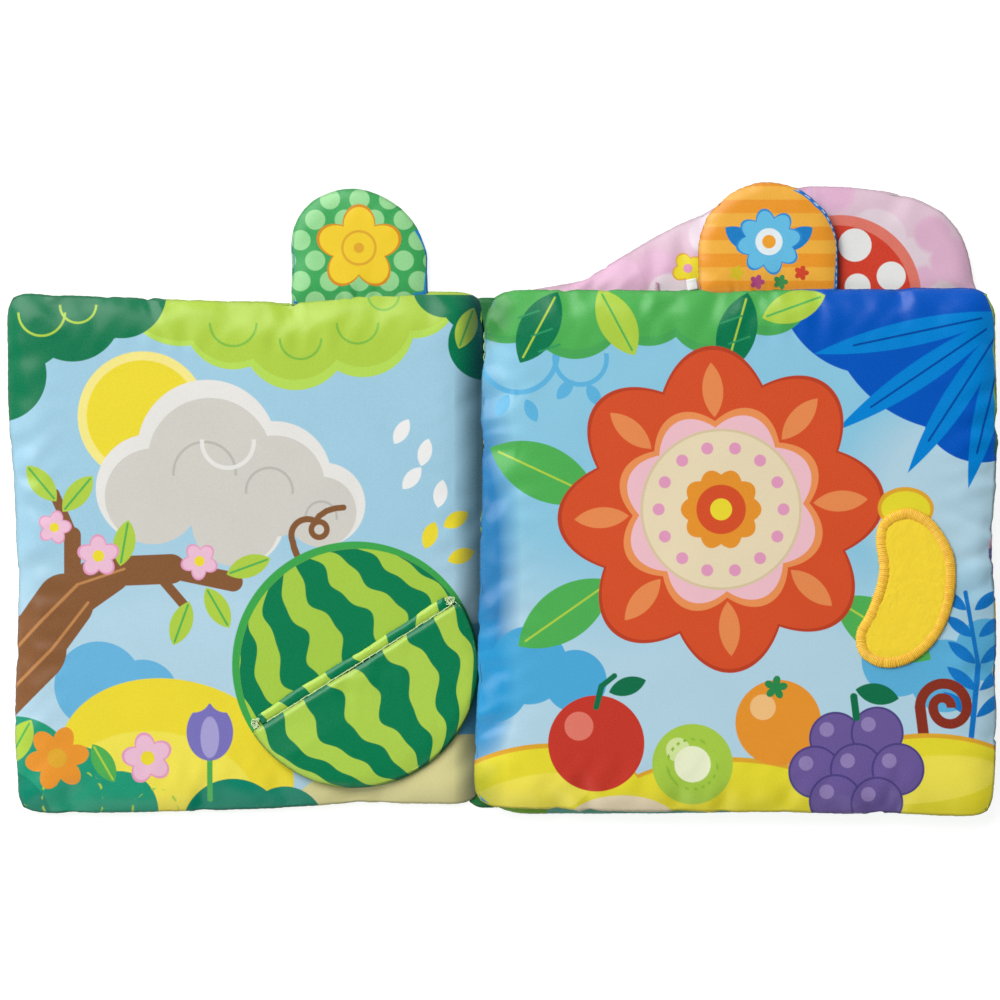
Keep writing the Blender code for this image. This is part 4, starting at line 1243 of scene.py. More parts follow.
def inner_sheet(name, node, sides, crumple, pitch, columns=26):
    """Fits the outline of a leaf or tab into the box of its solid, crumpled by so many mm."""
    low, high = (np.array(c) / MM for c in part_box(node))
    every = np.array([p for side in sides for p in side])
    start, reach = every.min(0), every.max(0) - every.min(0)
    spread = (high - low)[:2]
    rows = round(columns * spread[1] / spread[0])
    fitted = [[(np.array(p) - start) / reach * spread + low[:2] for p in side] for side in sides]
    cage = sewn_cage(name, columns, rows, lambda spots: stretched(spots, fitted, columns, rows),
                     low[2] * MM, high[2] * MM, max(high[2] - low[2], LEAST_ROLL) * MM)
    mesh = subdivided(cage, 1)
    points = positions(mesh)
    flat = points * [1, 1, 0]
    creased = np.abs(ripple(flat, pitch, 3)) + 0.5 * np.abs(ripple(flat, pitch / 2.3, 5))
    points[:, 2] += crumple * MM * (creased - creased.mean())
    put_positions(mesh, points)
    smoothed(mesh)
    return cage


def box_sides(node):
    low, high = (np.array(c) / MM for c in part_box(node))
    return rounded([(low[0], low[1]), (low[0], high[1])], [(high[0], low[1]), (high[0], high[1])],
                   [(low[0], low[1]), (high[0], low[1])], [(low[0], high[1]), (high[0], high[1])], 8.0)


fillings, films = {}, {}
for leaf, sides in (("front", FRONT_SIDES), ("middle", MIDDLE_SIDES), ("back", BACK_SIDES)):
    fillings[leaf] = inner_sheet(f"{leaf}_wadding", f"{leaf}_leaf_batting", sides, 0.35, 16 * MM)
    films[leaf] = inner_sheet(f"{leaf}_film", f"{leaf}_leaf_crinkle_film", sides, 0.30, 8 * MM, 60)
for tab in ("left_tab", "right_tab"):
    films[tab] = inner_sheet(f"{tab}_rustle", f"{tab}_film", box_sides(f"{tab}_film"), 0.15, 5 * MM, 16)


def film_in_flap(spots):
    disc = half_disc(spots)
    return flap_spot(-disc[:, :1] * 39.0, 6.0 + disc[:, 1:] * 35.0) * MM


films["flap"] = sewn_cage("flap_rustle", 30, 16, film_in_flap, 7.55 * MM, 7.75 * MM, LEAST_ROLL * MM)
curl_corner(subdivided(films["flap"], 1))
smoothed(films["flap"].data)
print("inside:", sorted(fillings), sorted(films))

# %% [markdown]
# ## Prints
# The pictures are made for this book: clouds, hills, leaves and flowers, all from the shapes
# above. Each ink covers what lies before it, so a picture is read from its ground upwards. A few
# motifs come back on several cloths.


# %% Motifs that several cloths share
def melon_stripes(f, slip=0.0):
    """Wavy stripes between two poles, as on a water melon. Below zero in the dark stripes."""
    along, away = f.local(*FLAP_CENTRE, FLAP_DEGREES, FLAP_RADIUS + 1.2, FLAP_RADIUS + 1.2)
    bulge = (1.06 - away * away).most(0.05).sum("SQRT")
    turn = (along / bulge).most(-0.995).least(0.995).sum("ARCSINE")
    wobble = (away * 11.0 + along * 3.1 + 0.8).wave() * 0.62 + (away * 23.0 - along * 7.0).wave() * 0.22
    return -((turn * 11.6 + wobble + slip).wave() + 0.06) * 3.4


def blossom(f, x, y, radius, petal_ink, heart_ink, petals=5, turn=0.0, rim_ink=None):
    if rim_ink:
        f.ink(rim_ink, f.flower(x, y, radius * 1.12, petals, 0.34, turn))
    f.ink(petal_ink, f.flower(x, y, radius, petals, 0.36, turn))
    f.ink(heart_ink, f.disc(x, y, radius * 0.3))


def leaf_with_vein(f, x, y, length, width, turn, ink, vein_ink):
    f.ink(ink, f.leaf(x, y, length, width, turn))
    c, s = beside(turn, length * 0.42)
    f.ink(vein_ink, f.bar(x - c, y - s, x + c, y + s, 0.8))


def beside(turn, far):
    """The step of length far in the direction turn, in degrees."""
    return math.cos(math.radians(turn)) * far, math.sin(math.radians(turn)) * far


def fruit_ball(f, x, y, radius, ink, light, rim=None):
    if rim:
        f.ink(rim, f.disc(x, y, radius + 0.8))
    f.ink(ink, f.disc(x, y, radius))
    f.ink(light, f.disc(x - radius * 0.36, y + radius * 0.36, radius * 0.3), share=0.75)


print("inks:", len(INK))

# %% [markdown]
# ## The left page
# A summer sky, with leaves above, a cloud before the sun, and a bough that comes in from the
# left edge. The half of the melon that the flap covers is printed too: red flesh and seeds.


# %% Print of the left page
MELON_RADIUS = 47.6


def front_page_print():
    f = Finish("front page cloth")
    f.ground("sky")
    f.ink("pale_sky", f.below(-8, (5, 120, 20)), edge=34)
    f.ink("far_hill", f.cluster((-150, -52, 17), (-133, -56, 14), (-117, -62, 12)))
    f.ink("far_hill", f.oval(-2, -62, 30, 34))
    for x, y, radius in ((-118, 104, 24), (-98, 90, 19), (-74, 84, 21), (-48, 88, 20), (-28, 100, 17)):
        f.ink("#b7dc58", f.disc(x, y - 1.0, radius))
    f.ink("lime", f.cluster((-118, 105, 24), (-98, 91, 18.4), (-74, 86, 20), (-48, 90, 19), (-28, 101, 16)))
    for x, y, radius, turn in ((-98, 88, 9, 0), (-72, 82, 8, 2), (-50, 88, 8, 1), (-40, 99, 6, 0)):
        f.ink("#7fbd45", f.ring(x, y, radius, 0.9).most(f.y - y))
    f.ink("forest", f.cluster(
        (-186, 98, 30), (-160, 92, 19), (-141, 99, 17), (-188, 68, 18), (-150, 103, 22)))
    for x, y, radius in ((-172, 92, 9), (-158, 95, 7)):
        f.ink("lime", f.ring(x, y, radius, 0.9).most(f.y - y))
    f.ink("forest", f.cluster((-2, 100, 17), (-16, 103, 13), (-1, 80, 14)))
    leaf_with_vein(f, -8, 86, 17, 8, 70, "lime", "leaf")
    # the sun behind a cloud
    f.ink("#f6e98a", f.disc(-133, 52, 25))
    f.ink("yellow", f.disc(-133, 52, 21.5))
    f.ink("cloud_light", f.cluster(
        (-130, 24, 21), (-108, 39, 27), (-82, 28, 22), (-63, 18, 16), (-96, 12, 18)))
    f.ink("cloud", f.cluster(
        (-129, 21, 18.5), (-107, 35, 24), (-82, 25, 19.5), (-64, 15, 13.6), (-97, 11, 17)))
    for x, y, radius, width in ((-109, 30, 12, 1.0), (-84, 23, 9, 1.0), (-64, 13, 6, 0.9)):
        f.ink("#bdbab2", f.ring(x, y, radius, width).most(y - 1 - f.y))
    f.ink("cloud_light", f.ring(-100, 42, 10, 1.6).most(f.y - 43))
    for x, y, turn in ((-33, 46, 60), (-24, 38, 75), (-29, 28, 50), (-18, 22, 80)):
        f.ink("white", f.leaf(x, y, 11, 5.4, turn))
    for x, y, turn in ((-22, 6, 70), (-12, 12, 30), (-10, -2, 20)):
        f.ink("yellow", f.leaf(x, y, 11, 5.8, turn))
    # the bough
    f.ink("bark", together((
        f.stroke((-192, -54, 30), (-176, -38, 25), (-163, -20, 20), (-146, -8, 14), (-122, -7, 9),
                 (-98, -12, 6)),
        f.stroke((-160, -16, 8), (-160, 6, 5), (-167, 22, 3)), f.stroke((-128, -8, 5), (-116, -22, 2.4)))))
    f.ink("bark_line", f.stroke((-186, -42, 1.2), (-172, -27, 1.2), (-158, -13, 1.2), (-140, -7, 0.8)))
    f.ink("bark_line", f.stroke((-184, -54, 1.2), (-168, -38, 1.2), (-154, -20, 1.0)))
    for x, y, turn in ((-172, 26, 130), (-158, 22, 50), (-104, -22, -60), (-92, -6, 20), (-140, 3, 80),
                       (-118, -28, -110)):
        leaf_with_vein(f, x, y, 18, 8.5, turn, "lime", "leaf")
    for x, y, radius, turn in ((-150, -2, 7.5, 20), (-111, -4, 6.6, 50), (-167, 9, 6.0, 5)):
        blossom(f, x, y, radius, "blush", "yellow", turn=turn, rim_ink="rose")
    # near ground
    f.ink("yellow", f.oval(-120, -84, 46, 34, -14))
    f.ink("lemon", f.oval(-126, -96, 38, 26, -10))
    f.ink("sand", f.oval(-20, -104, 62, 32, 9))
    f.ink("teal", f.cluster((-182, -88, 24), (-160, -94, 19), (-142, -100, 15)))
    f.ink("deep_teal", f.cluster((-98, -108, 20), (-78, -106, 15), (-190, -106, 22)))
    sprig = f.ring(-160, -96, 12, 0.9).least(f.ring(-128, -101, 9, 0.9))
    dashes = 0.25 - ((f.x * 1.5).wave() * 0.5 + (f.y * 1.5).wave() * 0.5)
    f.ink("lime", sprig.most(dashes))
    leaf_with_vein(f, -181, -74, 20, 10, 60, "lime", "leaf")
    leaf_with_vein(f, -148, -82, 17, 8, 120, "leaf", "lime")
    blossom(f, -166, -80, 12.5, "orange", "gold", 6, 10)
    blossom(f, -131, -80, 9.0, "blush", "yellow", 5, 30, "rose")
    f.ink("leaf", f.stroke((-107, -96, 2.2), (-107, -78, 2.0)))
    tulip = f.oval(-107, -70, 9, 11).most(-f.cluster((-113, -56, 6.4), (-101, -56, 6.4)))
    f.ink("lilac", tulip)
    f.ink("pale_lilac", f.oval(-107, -72, 3.6, 8))
    # the melon
    f.ink("bark", together((
        f.ring(-69.3, 6.0, 6.2, 2.4).most(f.x + 65.8).most(3.4 - f.y), f.ring(-64.8, 8.2, 3.0, 2.2),
        f.stroke((-75.0, 3.6, 2.4), (-74.5, 1.2, 2.5), (-73.4, -1.6, 2.6)),
        f.stroke((-66.6, 10.8, 2.3), (-64.8, 13.4, 2.3), (-61.9, 15.4, 2.3), (-58.6, 16.4, 2.3),
                 (-55.4, 16.7, 2.3)))))
    f.ink("melon_rim", f.disc(*FLAP_CENTRE, MELON_RADIUS))
    # the rim is wider at the top
    inner = f.disc(FLAP_CENTRE[0] + 0.7, FLAP_CENTRE[1] - 0.6, MELON_RADIUS - 2.2)
    f.ink("melon_light", inner)
    f.ink("melon_dark", inner.most(melon_stripes(f)))
    under_flap = f.local(*FLAP_CENTRE, FLAP_DEGREES)[1] + 1.5
    for card, radius in (("#0b8056", 47.0), ("#cfe6a0", 43.6), ("#f3f0dc", 41.4), ("flesh", 39.2)):
        f.ink(card, f.disc(*FLAP_CENTRE, radius).most(under_flap))
    for along, away, turn in ((-24, 9, 10), (-10, 14, -8), (6, 10, 4), (22, 13, -12), (-16, 24, 14),
                              (2, 25, 0), (17, 25, -20), (-4, 34, 6)):
        x, y = flap_spot(along, away).tolist()
        f.ink("seed", f.leaf(x, y, 5.2, 2.8, FLAP_DEGREES + 90 + turn))
    f.ink("#0a2740", -(f.x + 8.2), share=0.8, edge=9.5)  # painted shade where the page rolls down into the gutter
    # the back cloth shows where the seam lies forward
    f.ink("lime", (f.y * -1 + 99.0).most(f.bar(-22, 100, -2, 100, 5)))
    return woven(f)


front_page_cloth = front_page_print()
print("left page:", len(front_page_cloth.node_tree.nodes), "nodes")

# %% [markdown]
# ## The right page
# One big flower under a green canopy, with a dark blue thicket in the upper right corner and a
# row of round fruits below. Along its right edge the reverse cloth peeps out in places, because
# no seam lies exactly on the edge.


# %% Print of the right page
def middle_page_print():
    f = Finish("middle page cloth")
    f.ground("#8dc9e3")
    f.ink("pale_sky", f.oval(188, 24, 44, 34), edge=16)
    f.ink("pale_sky", f.below(-15, (6, 110, 30)), edge=40)
    f.ink("#1c7ab8", f.oval(-6, -8, 15, 74), share=0.95, edge=9)
    vines = f.ring(12, 76, 15, 2.0).most(f.y - 78).least(f.ring(36, 74, 10, 1.8).most(f.y - 76))
    for x, y, turn in ((6, 56, 60), (17, 54, 115), (30, 62, 50), (41, 60, 120)):
        vines = vines.least(f.leaf(x, y, 9.5, 4.8, turn))
    f.ink("#5db3de", vines)
    f.ink("#4dabdb", f.cluster((16, -44, 15), (34, -50, 12), (2, -52, 14)))
    f.ink("#1b94d0", f.oval(-4, -52, 13, 26), share=0.8, edge=6)
    f.ink("#5db3de", f.cluster((158, -42, 14), (176, -48, 14), (192, -38, 12)))
    # thicket in the corner
    f.ink("royal", f.cluster((182, 98, 52), (148, 104, 36), (190, 58, 24)))
    for turn, length in ((192, 78), (214, 82), (237, 74), (256, 70)):
        c, s = beside(turn, length)
        f.ink("bright", f.leaf(202 + c / 2, 92 + s / 2, length, 10, turn))
        root = beside(turn, 12)
        f.ink("navy", f.bar(202 + root[0], 92 + root[1], 202 + c * 0.8, 92 + s * 0.8, 0.8))
    # canopy
    for x, y, radius in ((8, 102, 21), (34, 94, 19), (62, 98, 18), (86, 94, 17), (108, 101, 17)):
        f.ink("#4aa857", f.disc(x, y - 1.2, radius))
    f.ink("leaf", f.cluster(
        (8, 103, 20.4), (34, 96, 18.5), (62, 100, 17.6), (86, 96, 16.6), (108, 103, 16.6)))
    for x, y, length, width, turn, ink, vein in (
            (20, 86, 31, 15, 62, "forest", "lime"), (50, 88, 29, 14, 118, "lime", "leaf"),
            (96, 84, 32, 15, 74, "forest", "lime"), (118, 94, 26, 12, 20, "lime", "leaf")):
        leaf_with_vein(f, x, y, length, width, turn, ink, vein)
    for x, y, turn in ((16, 91, 20), (21, 84, 20), (24, 78, 20), (94, 89, 30), (97, 81, 30)):
        f.ink("#2f9a63", f.bar(x - 4, y - 1.4, x + 4, y + 1.4, 0.7))
    # green leaves behind the big flower
    for x, y, length, width, turn in ((22, 30, 46, 21, 155), (30, -24, 44, 20, 215), (152, -30, 44, 20, -32)):
        leaf_with_vein(f, x, y, length, width, turn, "leaf", "lime")
    # big flower
    centre = (90, 16)
    f.ink("#bd4227", f.flower(*centre, 63.0, 8, 0.20, 4))
    f.ink("poppy", f.flower(*centre, 61.4, 8, 0.20, 4))
    for turn in range(4, 364, 45):
        c, s = beside(turn, 46)
        f.ink("coral", f.leaf(centre[0] + c, centre[1] + s, 21, 8.0, turn), share=0.85)
    f.ink("coral", f.flower(*centre, 40.5, 8, 0.16, 26.5))
    f.ink("#f2c1cb", f.flower(*centre, 37.5, 8, 0.16, 26.5))
    f.ink("#dcc9a2", f.disc(*centre, 31.0))
    f.ink("cream", f.disc(*centre, 30.0))
    for k in range(14):
        c, s = beside(360 * k / 14, 24)
        f.ink("rose", f.disc(centre[0] + c, centre[1] + s, 2.3))
    f.ink("orange", f.flower(*centre, 15.5, 10, 0.14))
    f.ink("poppy", f.disc(*centre, 9.5))
    f.ink("yellow", f.disc(*centre, 4.2))
    # fern and tendril at the right edge
    fern = f.stroke((186, -74, 2.4), (189, -44, 2.0), (184, -16, 1.4))
    for k, (x, y) in enumerate(((188, -64), (189, -54), (189, -44), (188, -34), (186, -24))):
        for turn in (90 + 52, 90 - 52):
            c, s = beside(turn, 8)
            fern = fern.least(f.leaf(x + c, y + s, 16 - k, 4.6, turn))
    f.ink("#1479c9", fern)
    above, lap = -60 - f.y, 0.3
    f.ink("tail", together((
        f.ring(175.5, -60, 9.0, 4.0).most(above - lap), f.ring(178.0, -60, 6.5, 3.8).most(-above - lap),
        f.ring(175.0, -60, 3.5, 3.6).most(above - lap), f.stroke((166.5, -60, 4.0), (169, -80, 4.4)))))
    # fruits on yellow ground
    for card, ovals in (("gold", ((20, -99, 42, 24.8, 6), (166, -101, 50, 30.8, 4), (92, -104, 50, 24.8))),
                        ("#e8dc33", ((20, -100, 42, 24, 6), (166, -102, 50, 30, 4), (92, -105, 50, 24))),
                        ("lemon", ((14, -96, 26, 9, 14), (168, -88, 30, 9, 6)))):
        f.ink(card, together(f.oval(*one) for one in ovals))
    f.ink("cream", f.oval(52, -106, 22, 12))
    fruit_ball(f, 42, -74, 18.5, "cherry", "#ee8a78")
    stalk = f.stroke((42, -60, 2.4), (44, -52, 2.2), (49, -48, 2.0))
    f.ink("#12714a", stalk.least(f.leaf(54, -52, 15, 7, 18)))
    fruit_ball(f, 112, -66, 16.5, "orange", "#f8cf92")
    f.ink("#2c8a4d", f.flower(111, -52.5, 4.6, 5, 0.5, 10))
    fruit_ball(f, 79, -82, 15.5, "melon_light", "#e3f0b0")
    f.ink("#eef4cf", f.disc(79, -82, 7.0))
    f.ink("#8fbf3c", f.ring(79, -82, 9.6, 1.0).most(0.2 - (f.x * 1.9 + f.y * 1.1).wave()))
    for x, y in ((134, -72), (150, -70), (126, -85), (142, -84), (158, -84), (134, -96), (150, -97)):
        fruit_ball(f, x, y, 9.4, "plum", "#9e8cc0", "#4f4382")
    f.ink("#12714a", f.stroke((142, -64, 3.0), (141, -56, 2.6)).least(f.leaf(150, -55, 17, 8, -12)))
    # stalk of the stitched-on fruit
    f.ink("gold", f.stroke((157.5, 9, 10), (156.0, 18.2, 10.4)).least(f.oval(161, 16.4, 10.8, 8.2, -2)))
    f.ink("#e8dc33", f.oval(161, 16.2, 9.4, 6.8, -2))
    # painted shade in the gutter: a fold's shadow at the top, darker olive shade at the foot
    f.ink("#0a5a24", f.oval(1, 89, 7, 10, -25), share=0.5, edge=6)
    f.ink("#6f8a1c", (f.x - 3).most(f.y + 84), share=0.5, edge=9)
    # reverse cloth along the seam
    away = f.painted("seam")
    peeping = away - ((f.y * 0.35).wave() * 0.35 + 0.95)
    for card, level, height in (("#9cc23c", 78, 21), ("#7ab23c", 56, 9), ("#0f6e46", 42, 5),
                                ("blush", 2.8, 2), ("lilac", -4, 5), ("yellow", -23, 3)):
        f.ink(card, ((f.y - level).size() - height).most(peeping).most(190 - f.x))
    return woven(f)


middle_page_cloth = middle_page_print()
print("right page:", len(middle_page_cloth.node_tree.nodes), "nodes")

# %% [markdown]
# ## Hill, back page and reverses
# The top of the back leaf is the pink hill, with soft bands of cloud and a red dotted ball that
# the tab half hides. Below it, where only an opened book shows it, is a small meadow.


# %% Print of the back page
def back_page_print():
    f = Finish("back page cloth")
    f.ground("#dec1d0")
    f.ink("#cfa3bb", f.oval(48, 100, 30, 16, 20), edge=14)
    for tint, edge, puffs in (
        ("#dcaeca", 3.0, ((104, 137, 9), (118, 140, 9), (134, 139, 8), (52, 104, 9), (66, 109, 7),
                          (40, 101, 7))),
        ("#e3d1da", 1.2, ((96, 127, 7), (86, 122, 8), (150, 120, 12), (164, 112, 9), (70, 99, 8))),
        ("#e0b4ce", 2.0, ((172, 122, 7), (180, 112, 9), (186, 104, 7), (169, 105, 5))),
        ("#e2cfd8", 1.2, ((176, 98, 6), (186, 95, 6), (166, 96, 5))),
    ):
        f.ink(tint, f.cluster(*puffs), edge=edge)
    f.ink("salmon", f.disc(136.0, 98.0, 31.6))
    f.ink("red", f.disc(135.4, 97.2, 28.4))
    for x, y, radius in ((142, 118, 6.4), (156, 106, 5.6), (143, 102, 5.0), (158, 92, 5.0), (128, 92, 5.4),
                         (120, 110, 5.0), (142, 84, 5.6), (117, 90, 4.4)):
        f.ink("#ececea", f.disc(x, y, radius))
    blossom(f, 77.5, 109.0, 5.8, "yellow", "rose", 4, 30, "gold")
    f.ink("cream", f.bar(135, 62, 135, 70, 22))
    f.ink("pale_sky", f.below(66, (5, 70, 5)))
    f.ink("far_hill", f.cluster((30, 20, 26), (64, 12, 22), (160, 18, 30), (120, 8, 24)))
    f.ink("lilac", f.below(4, (7, 95, 10)))
    f.ink("leaf", f.below(-24, (8, 120, 50)))
    f.ink("forest", f.below(-62, (6, 80, 20)))
    f.ink("#7fb82c", f.below(-92, (1.5, 40, 0)).most(f.x - 23))
    f.ink("#6cb4a0", f.below(-94, (1.5, 50, 9)).most(23 - f.x))
    for x, y, radius, turn, petal_ink, heart_ink in (
            (34, -28, 15, 0, "blush", "poppy"), (84, -44, 18, 20, "yellow", "orange"),
            (140, -30, 16, 35, "orange", "cherry"), (172, -62, 12, 8, "pale_lilac", "plum")):
        f.ink("lime", f.stroke((x, y - 34, 2.6), (x, y, 2.2)))
        blossom(f, x, y, radius, petal_ink, heart_ink, 6, turn)
        leaf_with_vein(f, x + 9, y - 26, 18, 8, 35, "lime", "leaf")
    return woven(f)


def banded_print(name, bands, dots_ink, pitch=9.0, dot=1.7, selvedge=None, bends=False):
    """Wide wavy bands with small tone-on-tone dots, for the cloths seen least. A band is
    (colour, level, height of its waves, length of its waves); a selvedge is the plain edge."""
    f = Finish(name, bends)
    f.ground(bands[0][0])
    for card, level, height, length in bands[1:]:
        f.ink(card, f.below(level, (height, length, 0)))
    f.ink(dots_ink, f.dots(pitch, pitch / 2, dot), share=0.5)
    if selvedge:
        f.ink(selvedge, f.x - 3)
    return woven(f)


back_page_cloth = back_page_print()
middle_reverse_cloth = banded_print("middle reverse cloth", (
    ("#7fc95a", 0, 0, 1), ("#bfe2f1", 80, 4, 60), ("#eebfd6", 12, 5, 80), ("#7b74bd", -2, 4, 70),
    ("#f0d93c", -16, 5, 90), ("#58b457", -48, 5, 75)), "#f4f4ef", selvedge="#3f97cc")
front_cover_cloth, back_cover_cloth = (
    banded_print("front cover cloth", (("#a9d64a", 0, 0, 1), ("#86c648", -40, 6, 90)), "#d5ea8c", 12.0, 2.6),
    banded_print("back cover cloth", (("#6cc05a", 0, 0, 1), ("#3fa75a", -20, 6, 100)), "#a8d86a", 12.0, 2.6))


# %% Prints of the tabs
def left_tab_print():
    f = Finish("left tab cloth", bends=True)
    f.ground("#3fa75a")
    f.ink("#97d894", f.dots(11.4, 7.9, 3.9, 2.0, 1.5))
    for grow, card in ((1.15, "#d98f22"), (0.0, "#f3cf31")):
        f.ink(card, f.flower(-49.5, 117.0, 15.8 + grow, 5, 0.36, 18))
    f.ink("#e2a92f", f.ring(-49.5, 117.0, 6.4, 1.0).least(f.disc(-49.5, 117.0, 2.0)))
    away = f.painted("seam")
    turned = (f.y * 0.21).wave() * 0.5 + 1.3
    f.ink("#1b8fd6", (away - turned).most(-28.5 - f.x).most(f.y - 124))
    return woven(f)


def right_tab_print():
    f = Finish("right tab cloth", bends=True)
    f.ground("#ee9a2d")
    f.ink("#f2b243", -((f.y * (math.tau / 10.4)).wave() * 1.6))
    for turn in (35, 145):
        f.ink("#1f7fc6", f.leaf(108.5 + beside(turn, 13)[0], 115 + beside(turn, 9)[1], 15, 7.5, turn))
    f.ink("#2f8fd2", f.flower(108.5, 119.0, 12.9, 8, 0.26, 10))
    f.ink("water", f.flower(108.5, 119.0, 12.0, 8, 0.26, 10))
    f.ink("#e9f3f6", f.disc(108.5, 119.0, 5.2))
    f.ink("#f3a531", f.disc(108.5, 119.0, 2.6))
    for x, y, card in ((96, 107, "#d8bd2c"), (104, 103.5, "#b04a7e"), (113, 103.5, "#3f8f4e"),
                       (121, 107, "#d5482f")):
        f.ink(card, f.flower(x, y, 2.9, 5, 0.4))
    away = f.painted("seam")
    reverse = (away - ((f.y * 0.2).wave() * 0.4 + 1.3)).most(118.0 - f.x).most(f.y - 139)
    f.ink("cobalt", reverse)
    f.ink("#cfe6f3", reverse.most((away - 0.8).size() - 0.25).most((f.y * 2.2).wave()))
    return woven(f)


left_tab_cloth, right_tab_cloth = left_tab_print(), right_tab_print()
left_tab_reverse_cloth = banded_print(
    "left tab reverse cloth", (("#1b86d8", 0, 0, 1), ("#0a7ad2", 116, 2, 30)), "#bfe2f1",
    8.0, 1.2, bends=True)
right_tab_reverse_cloth = banded_print(
    "right tab reverse cloth", (("#0a7ad2", 0, 0, 1), ("#0b6cc0", 118, 2, 30)), "#e9f3f6",
    6.0, 1.0, bends=True)


# %% Flap, hem and its reverse
FLAP_WEAVE = 0.025


def melon_print(name, slip=0.0):
    """The hem is turned over, so its stripes have slipped."""
    f = Finish(name, bends=not slip)
    f.ground("#b0d34f")
    f.ink("melon_dark", melon_stripes(f, slip))
    return woven(f, relief=FLAP_WEAVE, seam=not slip)


def flap_reverse_print():
    f = Finish("flap reverse cloth", bends=True)
    f.ground("#c7e07a")
    f.ink("#9ccc46", f.dots(9.0, 4.5, 1.7))
    return woven(f, relief=FLAP_WEAVE)


flap_cloth, hem_cloth = melon_print("flap cloth"), melon_print("hem cloth", 2.2)
flap_reverse_cloth = flap_reverse_print()
print("materials:", len(bpy.data.materials))

# %% [markdown]
# ## Thread, plush, satin, wadding and film
# Each of these catches light in its own way. Thread is twisted, so its shade winds round it.
# Plush is a short pile: it scatters light, and its bump is coarse. Satin stitch shines across
# its ridges. The film is the only smooth thing in the book.


# %% Plain finishes
THREAD_TWIST = 0.42  # mm from one turn of the thread to the next


def thread_finish(name, card, light):
    f = Finish(name)
    f.ground(card)
    twist = ((f.x * 0.8 + f.y * 1.1 + f.z * 2.0) * (math.tau / THREAD_TWIST)).wave()
    f.tinted(light, f.step(twist, -0.2, 0.9) * 0.6)
    return f.done(0.5, 0.04, twist, f.step(f.grain(3.0), 0.3, 0.7, 0.42, 0.6), Sheen_Weight=0.3)


def satin_stitch_finish():
    f = Finish("golden satin stitch")
    groove = f.painted("groove")
    f.ground("#ffd03a")
    # darker in the grooves: painted shade between the threads, and a darker line along the inner foot
    f.tinted("#e39a10", f.step(groove, 0.25, 1.0))
    f.shaded(f.step(f.grain(0.9, 3.0), 0.3, 0.7, 0.9, 1.0))
    rough = f.step(groove, 0.0, 1.0, 0.3, 0.55)
    return f.done(0.6, 0.08, f.grain(6.0, 3.0, 0.7) - groove, rough, Sheen_Weight=0.05)


def fuzzy_finish(name, card, light, scale, relief, sheen=0.6, blotch=0.86):
    """blotch is how dark the pile is where it lies the other way."""
    f = Finish(name)
    f.ground(card)
    pile, patches = f.grain(scale, 4.0, 0.65), f.grain(scale / 8, 3.0)
    f.tinted(light, f.step(pile, 0.38, 0.68) * 0.7)
    f.shaded(f.step(patches, 0.25, 0.75, blotch, 1.0))
    return f.done(0.9, relief, pile + patches * 0.8, f.step(pile, 0.3, 0.7, 0.86, 0.98), Sheen_Weight=sheen)


def film_finish():
    f = Finish("crinkle film finish")
    f.ground("#cfd6da")
    creased = f.grain(0.35, 5.0, 0.7)
    f.tinted("#f3f6f8", f.step(creased, 0.35, 0.65))
    return f.done(0.8, 0.25, creased, f.step(creased, 0.3, 0.7, 0.12, 0.26))


def plain_cloth(name, card, light, thread=0.55, relief=0.07, bends=False):
    f = Finish(name, bends)
    f.ground(card)
    f.tinted(light, f.step(f.grain(0.12, 3.0), 0.42, 0.7) * 0.5)
    return woven(f, thread, relief, seam=False)


pale_green_thread = thread_finish("pale green thread", "#bfe29a", "#eef6da")
clear_thread = thread_finish("clear green thread", "#c9dfa8", "#eef4dd")
pink_thread = thread_finish("pink thread", "#d98fb8", "#f3c8de")
seam_thread = thread_finish("gutter thread", "#9cc46a", "#d5e8ae")
satin_finish = satin_stitch_finish()
plush_finish = fuzzy_finish("yellow plush", "#f6d31c", "#ffe448", 3.0, 0.2, sheen=0.12, blotch=0.95)
wadding_finish = fuzzy_finish("white wadding", "#e6e4df", "#f6f5f2", 1.1, 0.5)
film_look = film_finish()
spine_cloth = plain_cloth("spine cloth finish", "#1d6a35", "#2a7d42", bends=True)
binding_cloth = plain_cloth("binding cloth finish", "#5fa8a0", "#78bdb0")
ribbon_cloth = plain_cloth("ribbon finish", "#ecebe6", "#ffffff", 0.4, 0.05)

# %% [markdown]
# ## Dressing the solids
# Every piece now gets its finish and takes the place of the solid that it stands for; most ride
# on the body of that solid. Pieces that cross a joint ride on no body: the feet of the two tabs,
# the folded side of the flap, and the spine. Each of these remembers where its points lie at
# rest, in the attribute `place`, and its print is read from there: cloth takes its print along
# when it bends.


# %% How a piece is dressed
def dressed(piece, name, node, finish, body=None):
    """Gives a piece its name and finish, and hides its solid. It rides on a body, or, with none,
    keeps where its points lie in the attribute place."""
    piece.name = piece.data.name = name
    piece.data.materials.clear()
    piece.data.materials.append(finish)
    if body:
        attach(piece, body)
    else:
        place = piece.data.attributes.new("place", "FLOAT_VECTOR", "POINT")
        place.data.foreach_set("vector", positions(piece.data).astype(np.float32).ravel())
        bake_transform(piece)
    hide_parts(node)


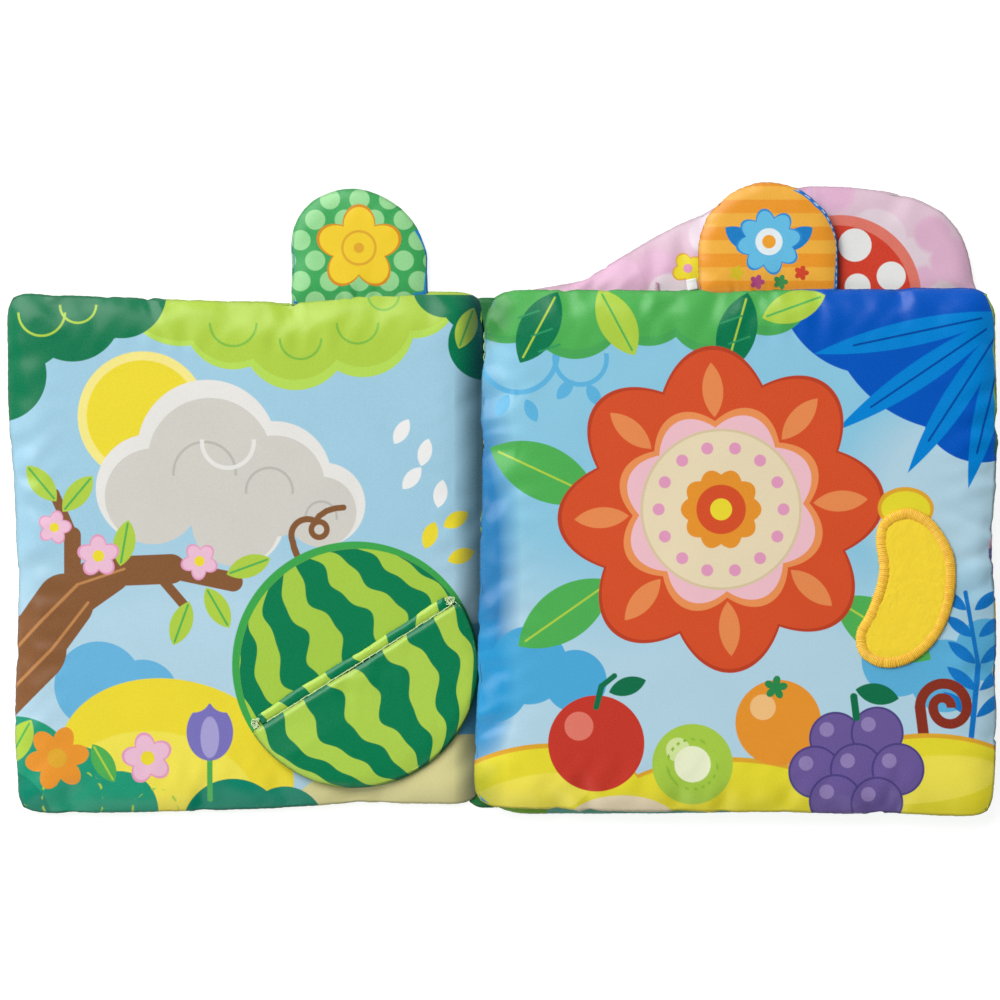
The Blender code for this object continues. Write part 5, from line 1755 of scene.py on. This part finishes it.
# %% Pieces that move with one body
for leaf, side, piece, name, cloth in (
    ("front", "face", front_page, "front_page", front_page_cloth),
    ("front", "back", front_cover, "front_cover", front_cover_cloth),
    ("middle", "face", middle_page, "middle_page", middle_page_cloth),
    ("middle", "back", middle_reverse, "middle_reverse", middle_reverse_cloth),
    ("back", "face", back_page, "back_page", back_page_cloth),
    ("back", "back", back_cover, "back_cover", back_cover_cloth),
):
    dressed(piece, name, f"{leaf}_leaf_{side}", cloth, f"{leaf}_leaf")
for leaf, piece, name, node, slot, finish in (
    ("front", hem_cage, "flap_hem_strip", "flap_hem", "flap_hem_fabric", hem_cloth),
    ("front", stitches, "flap_stitches", "flap_stitching", "green_thread", pale_green_thread),
    ("front", tack_lower, "tack_lower", "flap_tack_lower", "pale_thread", clear_thread),
    ("front", tack_upper, "tack_upper", "flap_tack_upper", "pale_thread", clear_thread),
    ("middle", plush_cage, "fruit_plush", "fruit_patch", "patch_fabric", plush_finish),
    ("middle", satin, "fruit_border", "fruit_patch_border", "patch_thread", satin_finish),
    ("middle", ribbon, "ribbon_end", "seam_ribbon", "ribbon_fabric", ribbon_cloth),
    ("back", hill_tack, "hill_zigzag", "hill_bar_tack", "pink_thread", pink_thread),
    ("back", binding, "gutter_strip", "gutter_binding", "binding_fabric", binding_cloth),
    ("back", gutter_stitches, "gutter_stitches", "gutter_stitching", "green_thread", seam_thread),
):
    dressed(piece, name, node, finish, body=f"{leaf}_leaf")
for leaf in ("front", "middle", "back"):
    body = f"{leaf}_leaf"
    dressed(fillings[leaf], f"{leaf}_wadding", f"{body}_batting", wadding_finish, body)
    dressed(films[leaf], f"{leaf}_film", f"{body}_crinkle_film", film_look, body=body)
for body in ("left_tab", "right_tab", "flap"):
    dressed(films[body], f"{body}_rustle", f"{body}_film", film_look, body=body)

# %% Pieces that cross a joint
TAB_BEND = (98.0, 104.5)
FLAP_BEND, FLAP_FOLD_LEVEL = 1.5, 8.35
for pair, tab, leaf, x, level, cloths in (
    (left_tab, "left_tab", "front_leaf", -49.5, 3.0, (left_tab_cloth, left_tab_reverse_cloth)),
    (right_tab, "right_tab", "middle_leaf", 108.2, 9.3, (right_tab_cloth, right_tab_reverse_cloth)),
):
    bend = (leaf, tab, *((x * MM, y * MM, level * MM) for y in TAB_BEND))
    sides = ("front", "face", "fabric"), ("reverse", "back", "reverse_fabric")
    for piece, cloth, (name, node, slot) in zip(pair, cloths, sides):
        dressed(piece, f"{tab}_{name}", f"{tab}_{node}", cloth)
bend = ("front_leaf", "flap", on_flap(0, 0.0, FLAP_FOLD_LEVEL), on_flap(0, FLAP_BEND, FLAP_FOLD_LEVEL))
dressed(flap_front, "flap_front", "flap_face", flap_cloth)
dressed(flap_reverse, "flap_reverse", "flap_back", flap_reverse_cloth)
dressed(spine, "spine_cloth", "spine_tape", spine_cloth)

# %% [markdown]
# ## Last look at the size
# Cloth may stand a little proud of the solids. The two boxes are printed side by side.

# %% Sizes
size = {"cad": [list(c) for c in cad_box], "scene": [list(c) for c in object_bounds()]}
for name, box in size.items():
    print(name, [[round(1000 * c, 1) for c in corner] for corner in box])
